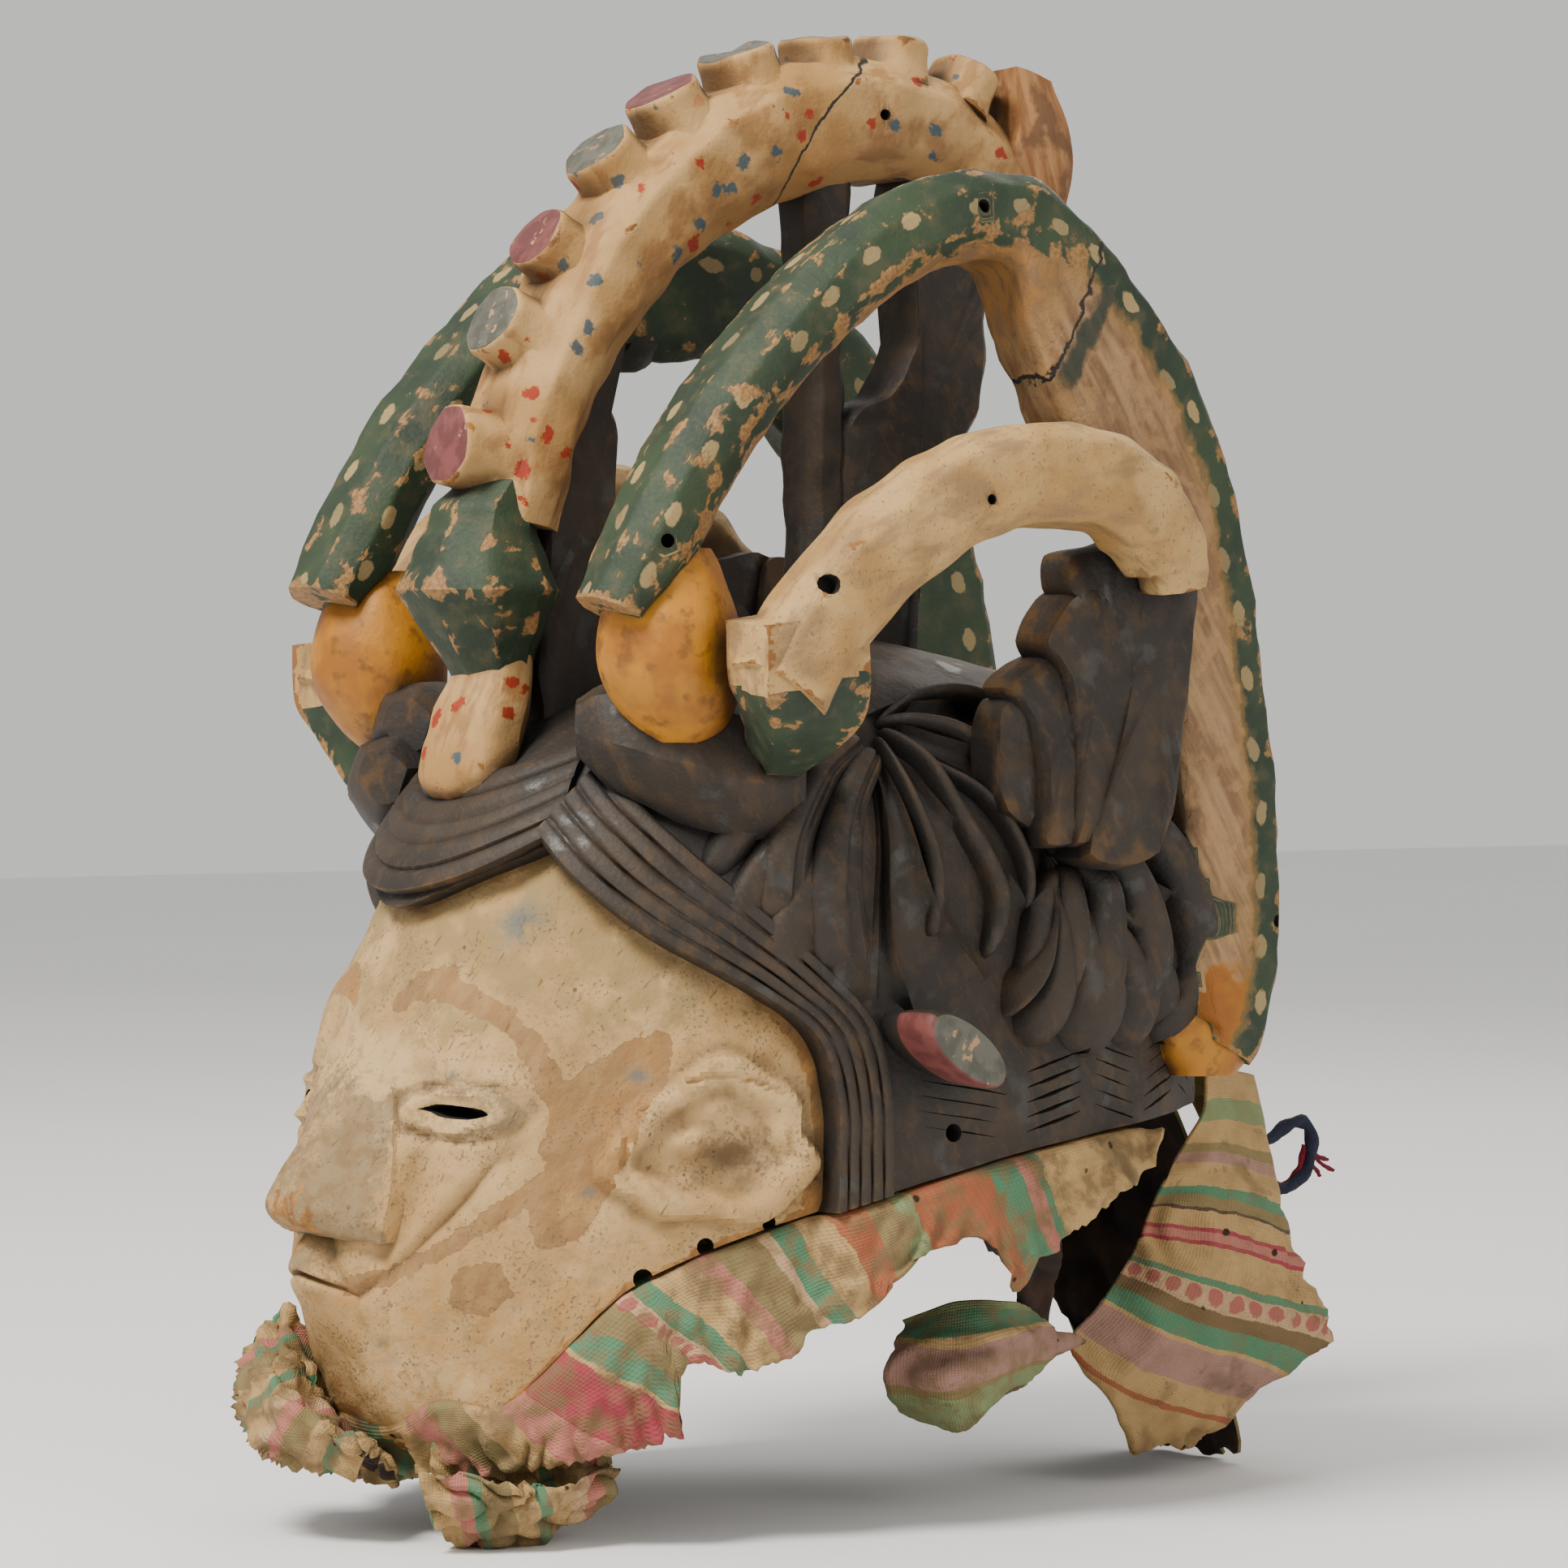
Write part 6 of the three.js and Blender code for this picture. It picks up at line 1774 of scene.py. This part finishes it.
CAPS = {"pink_cap": ((0.13, 0.034, 0.032), (0.20, 0.060, 0.054)),
        "grey_cap": ((0.075, 0.073, 0.055), (0.125, 0.120, 0.090))}
for name, (low, high) in CAPS.items():
    paint = Paint(finish[name])
    medium, fine = paint.noise(7, 6.0), paint.noise(1.4, 3.0)
    worn, colour = chipped(paint, medium.between(0.4, 0.6).mix(low, high), (0.45, 0.27, 0.14), -0.22, 5)
    # Painted shade and dirt darken the caps where they lie shut in.
    colour = (paint.mark("hollow").between(0.1, 0.8) * 0.7).mix(colour, (0.04, 0.03, 0.02))
    paint.finish(colour, 0.6, medium + fine * 0.5 - worn * 0.6, 0.4, 0.6, rich=1.05)

paint = Paint(finish["bare_wood"])
grain = paint.noise(4, 5.0, paint.stretched((1.0, 1.0, 8.0), (0.3, 0.1, 0.0)))
colour = grain.between(0.35, 0.68).mix((0.26, 0.115, 0.045), (0.48, 0.26, 0.12))
colour = (paint.noise(14, 4.0).between(0.50, 0.62) * 0.8).mix(colour, (0.13, 0.06, 0.028))
# Painted shade and dirt darken the grooves of the bare wood.
colour = (paint.mark("groove") * 0.8).mix(colour, (0.03, 0.018, 0.012))
paint.finish(colour, 0.7, grain, 0.4, 0.8, rich=1.1)
print("wood painted")

# %% [markdown]
# Striped cotton. The colours are faded and dirty. A cloth's stripes are a list of
# starting places in millimetres on the flat cloth, because no rule gives their order.

# %% Colours and stripes of the cloth
TAN, OLIVE, BROWN = (0.46, 0.310, 0.150), (0.235, 0.185, 0.090), (0.17, 0.115, 0.060)
GREEN, LIME = (0.095, 0.215, 0.125), (0.21, 0.26, 0.13)
PINK, ROSE, MAUVE = (0.44, 0.185, 0.150), (0.33, 0.070, 0.085), (0.36, 0.215, 0.175)
PALE, RUST, INK = (0.50, 0.34, 0.205), (0.34, 0.125, 0.072), (0.09, 0.06, 0.045)
STRIP_TABLE = [
    (0, TAN), (30, OLIVE), (48, PINK), (58, OLIVE), (84, TAN), (96, GREEN), (106, TAN), (120, PINK), (132, OLIVE),
    (146, TAN), (158, PINK), (168, ROSE), (182, TAN), (184, GREEN), (190, OLIVE), (197, PALE), (201, GREEN),
    (205, TAN), (215, PINK), (220, OLIVE), (229, PALE), (231, GREEN), (236, TAN), (243, RUST), (250, OLIVE),
    (254, LIME), (258, RUST), (272, GREEN), (281, PINK), (284, GREEN), (287, TAN), (302, TAN)]
PANEL_TABLE = [
    (0, TAN), (10, LIME), (19, TAN), (28, OLIVE), (32, MAUVE), (37, TAN), (47, GREEN), (50.5, OLIVE), (55.5, INK),
    (56.7, TAN), (64, ROSE), (66, PINK), (70, ROSE), (72, TAN), (86, GREEN), (89.5, PALE), (97, BROWN),
    (103, GREEN), (112, TAN), (114, MAUVE), (130, TAN), (139, RUST), (142, TAN)]
LOOP_TABLE = [(0, LIME), (3, GREEN), (13, TAN), (16, MAUVE), (34, OLIVE), (37, LIME), (50, BROWN)]
FRONT_TABLE = [(0, TAN), (10, PINK), (17, GREEN), (22, OLIVE), (34, TAN), (44, GREEN), (50, TAN), (60, PALE),
               (66, PINK), (72, OLIVE), (82, TAN), (90, GREEN)]
FAR_TABLE = [(0, OLIVE), (14, GREEN), (20, TAN), (34, ROSE), (42, TAN), (60, LIME), (68, PALE), (84, PINK),
             (92, OLIVE), (110, GREEN)]
BACK_TABLE = [(0, OLIVE), (9, BROWN), (14, OLIVE), (26, TAN), (33, OLIVE), (47, BROWN), (55, OLIVE)]


def stripes(value, table, length):
    """Value in millimetres read against a table of starting places and colours."""
    ramp = value.tree.nodes.new("ShaderNodeValToRGB")
    ramp.color_ramp.interpolation = "CONSTANT"
    marks = ramp.color_ramp.elements
    while len(marks) < len(table):
        marks.new(0.999)
    for spot, (start, _) in zip(list(marks), table):
        spot.position = min(start / length, 1.0)
    for spot, (_, tone) in zip(list(marks), table):
        spot.color = (*tone, 1.0)
    value.tree.links.new((value * (1 / length)).socket, ramp.inputs["Fac"])
    return Value(value.tree, ramp.outputs["Color"])


print("stripes of the near strip", len(STRIP_TABLE))

# %% [markdown]
# A cotton finish reads its stripes at a place that noise bends a little, as the cloth
# is pulled out of shape. Over them lie printed dots, the dirt, a few worn holes and
# the weave, which is fine enough to be a bump in the paint.

# %% Cotton


def cotton(material, table, length, down, dots=None, dirt=0.5):
    """down tells whether the stripes follow each other down the cloth or across it."""
    paint = Paint(material)
    flat = paint.node("UVMap", {"uv_map": "flat"})
    across, fall = (paint.node("SeparateXYZ", None, {"Vector": flat}, k) * 1000.0 for k in (0, 1))
    place = fall if down else across
    other = across if down else fall
    broad, medium, fine = paint.noise(26), paint.noise(8, 5.0), paint.noise(1.6, 3.0)
    bent = place + (broad - 0.5) * 5.0 + (fine - 0.5) * 1.2
    colour = stripes(bent.math("MODULO", bent + length * 2, length), table, length)
    if dots:
        start, end, tone, pace = dots
        da = (other.wrap(pace / 2) - pace / 4) * (1 / (pace * 0.2))
        dz = (bent - (start + end) / 2) * (2.2 / (end - start))
        colour = ((1.0 - (da * da + dz * dz + (fine - 0.5) * 0.8).between(0.6, 1.0)) * 0.75).mix(colour, tone)
    sketch = paint.noise(5, 3.0, rough=0.7).between(0.60, 0.64) * broad.between(0.48, 0.56)
    colour = (sketch * 0.5).mix(colour, (0.16, 0.10, 0.065))
    colour = (medium.between(0.40, 0.66) * dirt * 1.3).mix(colour, (0.20, 0.135, 0.07))
    colour = (broad.between(0.55, 0.68) * 0.5).mix(colour, (0.11, 0.075, 0.042))
    holes = (paint.cells(21.0) + (fine - 0.5) * 0.06).between(0.05, 0.08)
    colour = holes.mix((0.03, 0.02, 0.012), colour)
    weave = (across.wrap(0.5) + fall.wrap(0.5)) * 0.7
    colour = (weave.between(0.25, 0.55) * 0.18).mix(colour, (0.10, 0.075, 0.045))
    paint.skin.inputs["Specular IOR Level"].default_value = 0.2
    paint.finish(colour, 0.92, weave + medium * 1.6 + fine * 0.6, 0.6, 0.7, rich=1.08, light=0.95)


cotton(textile["strip_stripes"], STRIP_TABLE, 330.0, False, (196, 201, ROSE, 9.0), 0.70)
cotton(textile["panel_stripes"], PANEL_TABLE, 170.0, True, (89.5, 97, ROSE, 12.0), 0.25)
cotton(textile["loop_stripes"], LOOP_TABLE, 60.0, True, None, 0.5)
cotton(textile["front_stripes"], FRONT_TABLE, 96.0, False, None, 0.75)
cotton(textile["far_stripes"], FAR_TABLE, 120.0, False, (68, 84, ROSE, 12.0), 0.5)
cotton(textile["plain_back"], BACK_TABLE, 60.0, True, None, 0.8)
print("cotton finishes", len(TEXTILES) - 1)

# %% [markdown]
# The inner sides of the skirt, the loop and the front fold, and the whole tail, are painted
# nearly black as shade; the yarn is dark blue with red ends, and the floor is a pale grey.
# A single noise gives each of them its two tones.

# %% Painted shade on the cloth, yarn and floor
# Nearly black painted shade for the inner sides of the cloth and for the tail.
paint = Paint(textile["shade_black_cloth"])
colour = paint.noise(14, 4.0).between(0.4, 0.62).mix((0.012, 0.008, 0.006), (0.035, 0.020, 0.014))
paint.finish(colour, 0.95, paint.noise(5, 4.0), 0.4, 1.0)

for name, tone in (("blue_yarn", (0.018, 0.022, 0.040)), ("red_yarn", (0.22, 0.012, 0.030))):
    paint = Paint(yarn_finish[name])
    strand = paint.noise(1.2, 3.0)
    paint.finish(strand.between(0.35, 0.65).mix(tuple(v * 0.5 for v in tone), tone), 0.9, strand, 0.5, 0.5)

floor_finish = bpy.data.materials.new("floor_finish")
paint = Paint(floor_finish)
paint.finish(paint.noise(900).between(0.3, 0.7).mix((0.80, 0.80, 0.80), (0.83, 0.83, 0.83)), 0.9, rich=1.0, light=1.0)
floor.data.materials.append(floor_finish)
print("lining, yarn and floor painted")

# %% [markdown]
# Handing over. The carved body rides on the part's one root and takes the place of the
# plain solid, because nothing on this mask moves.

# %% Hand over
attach(mask, "root")
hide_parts("carved_mask")
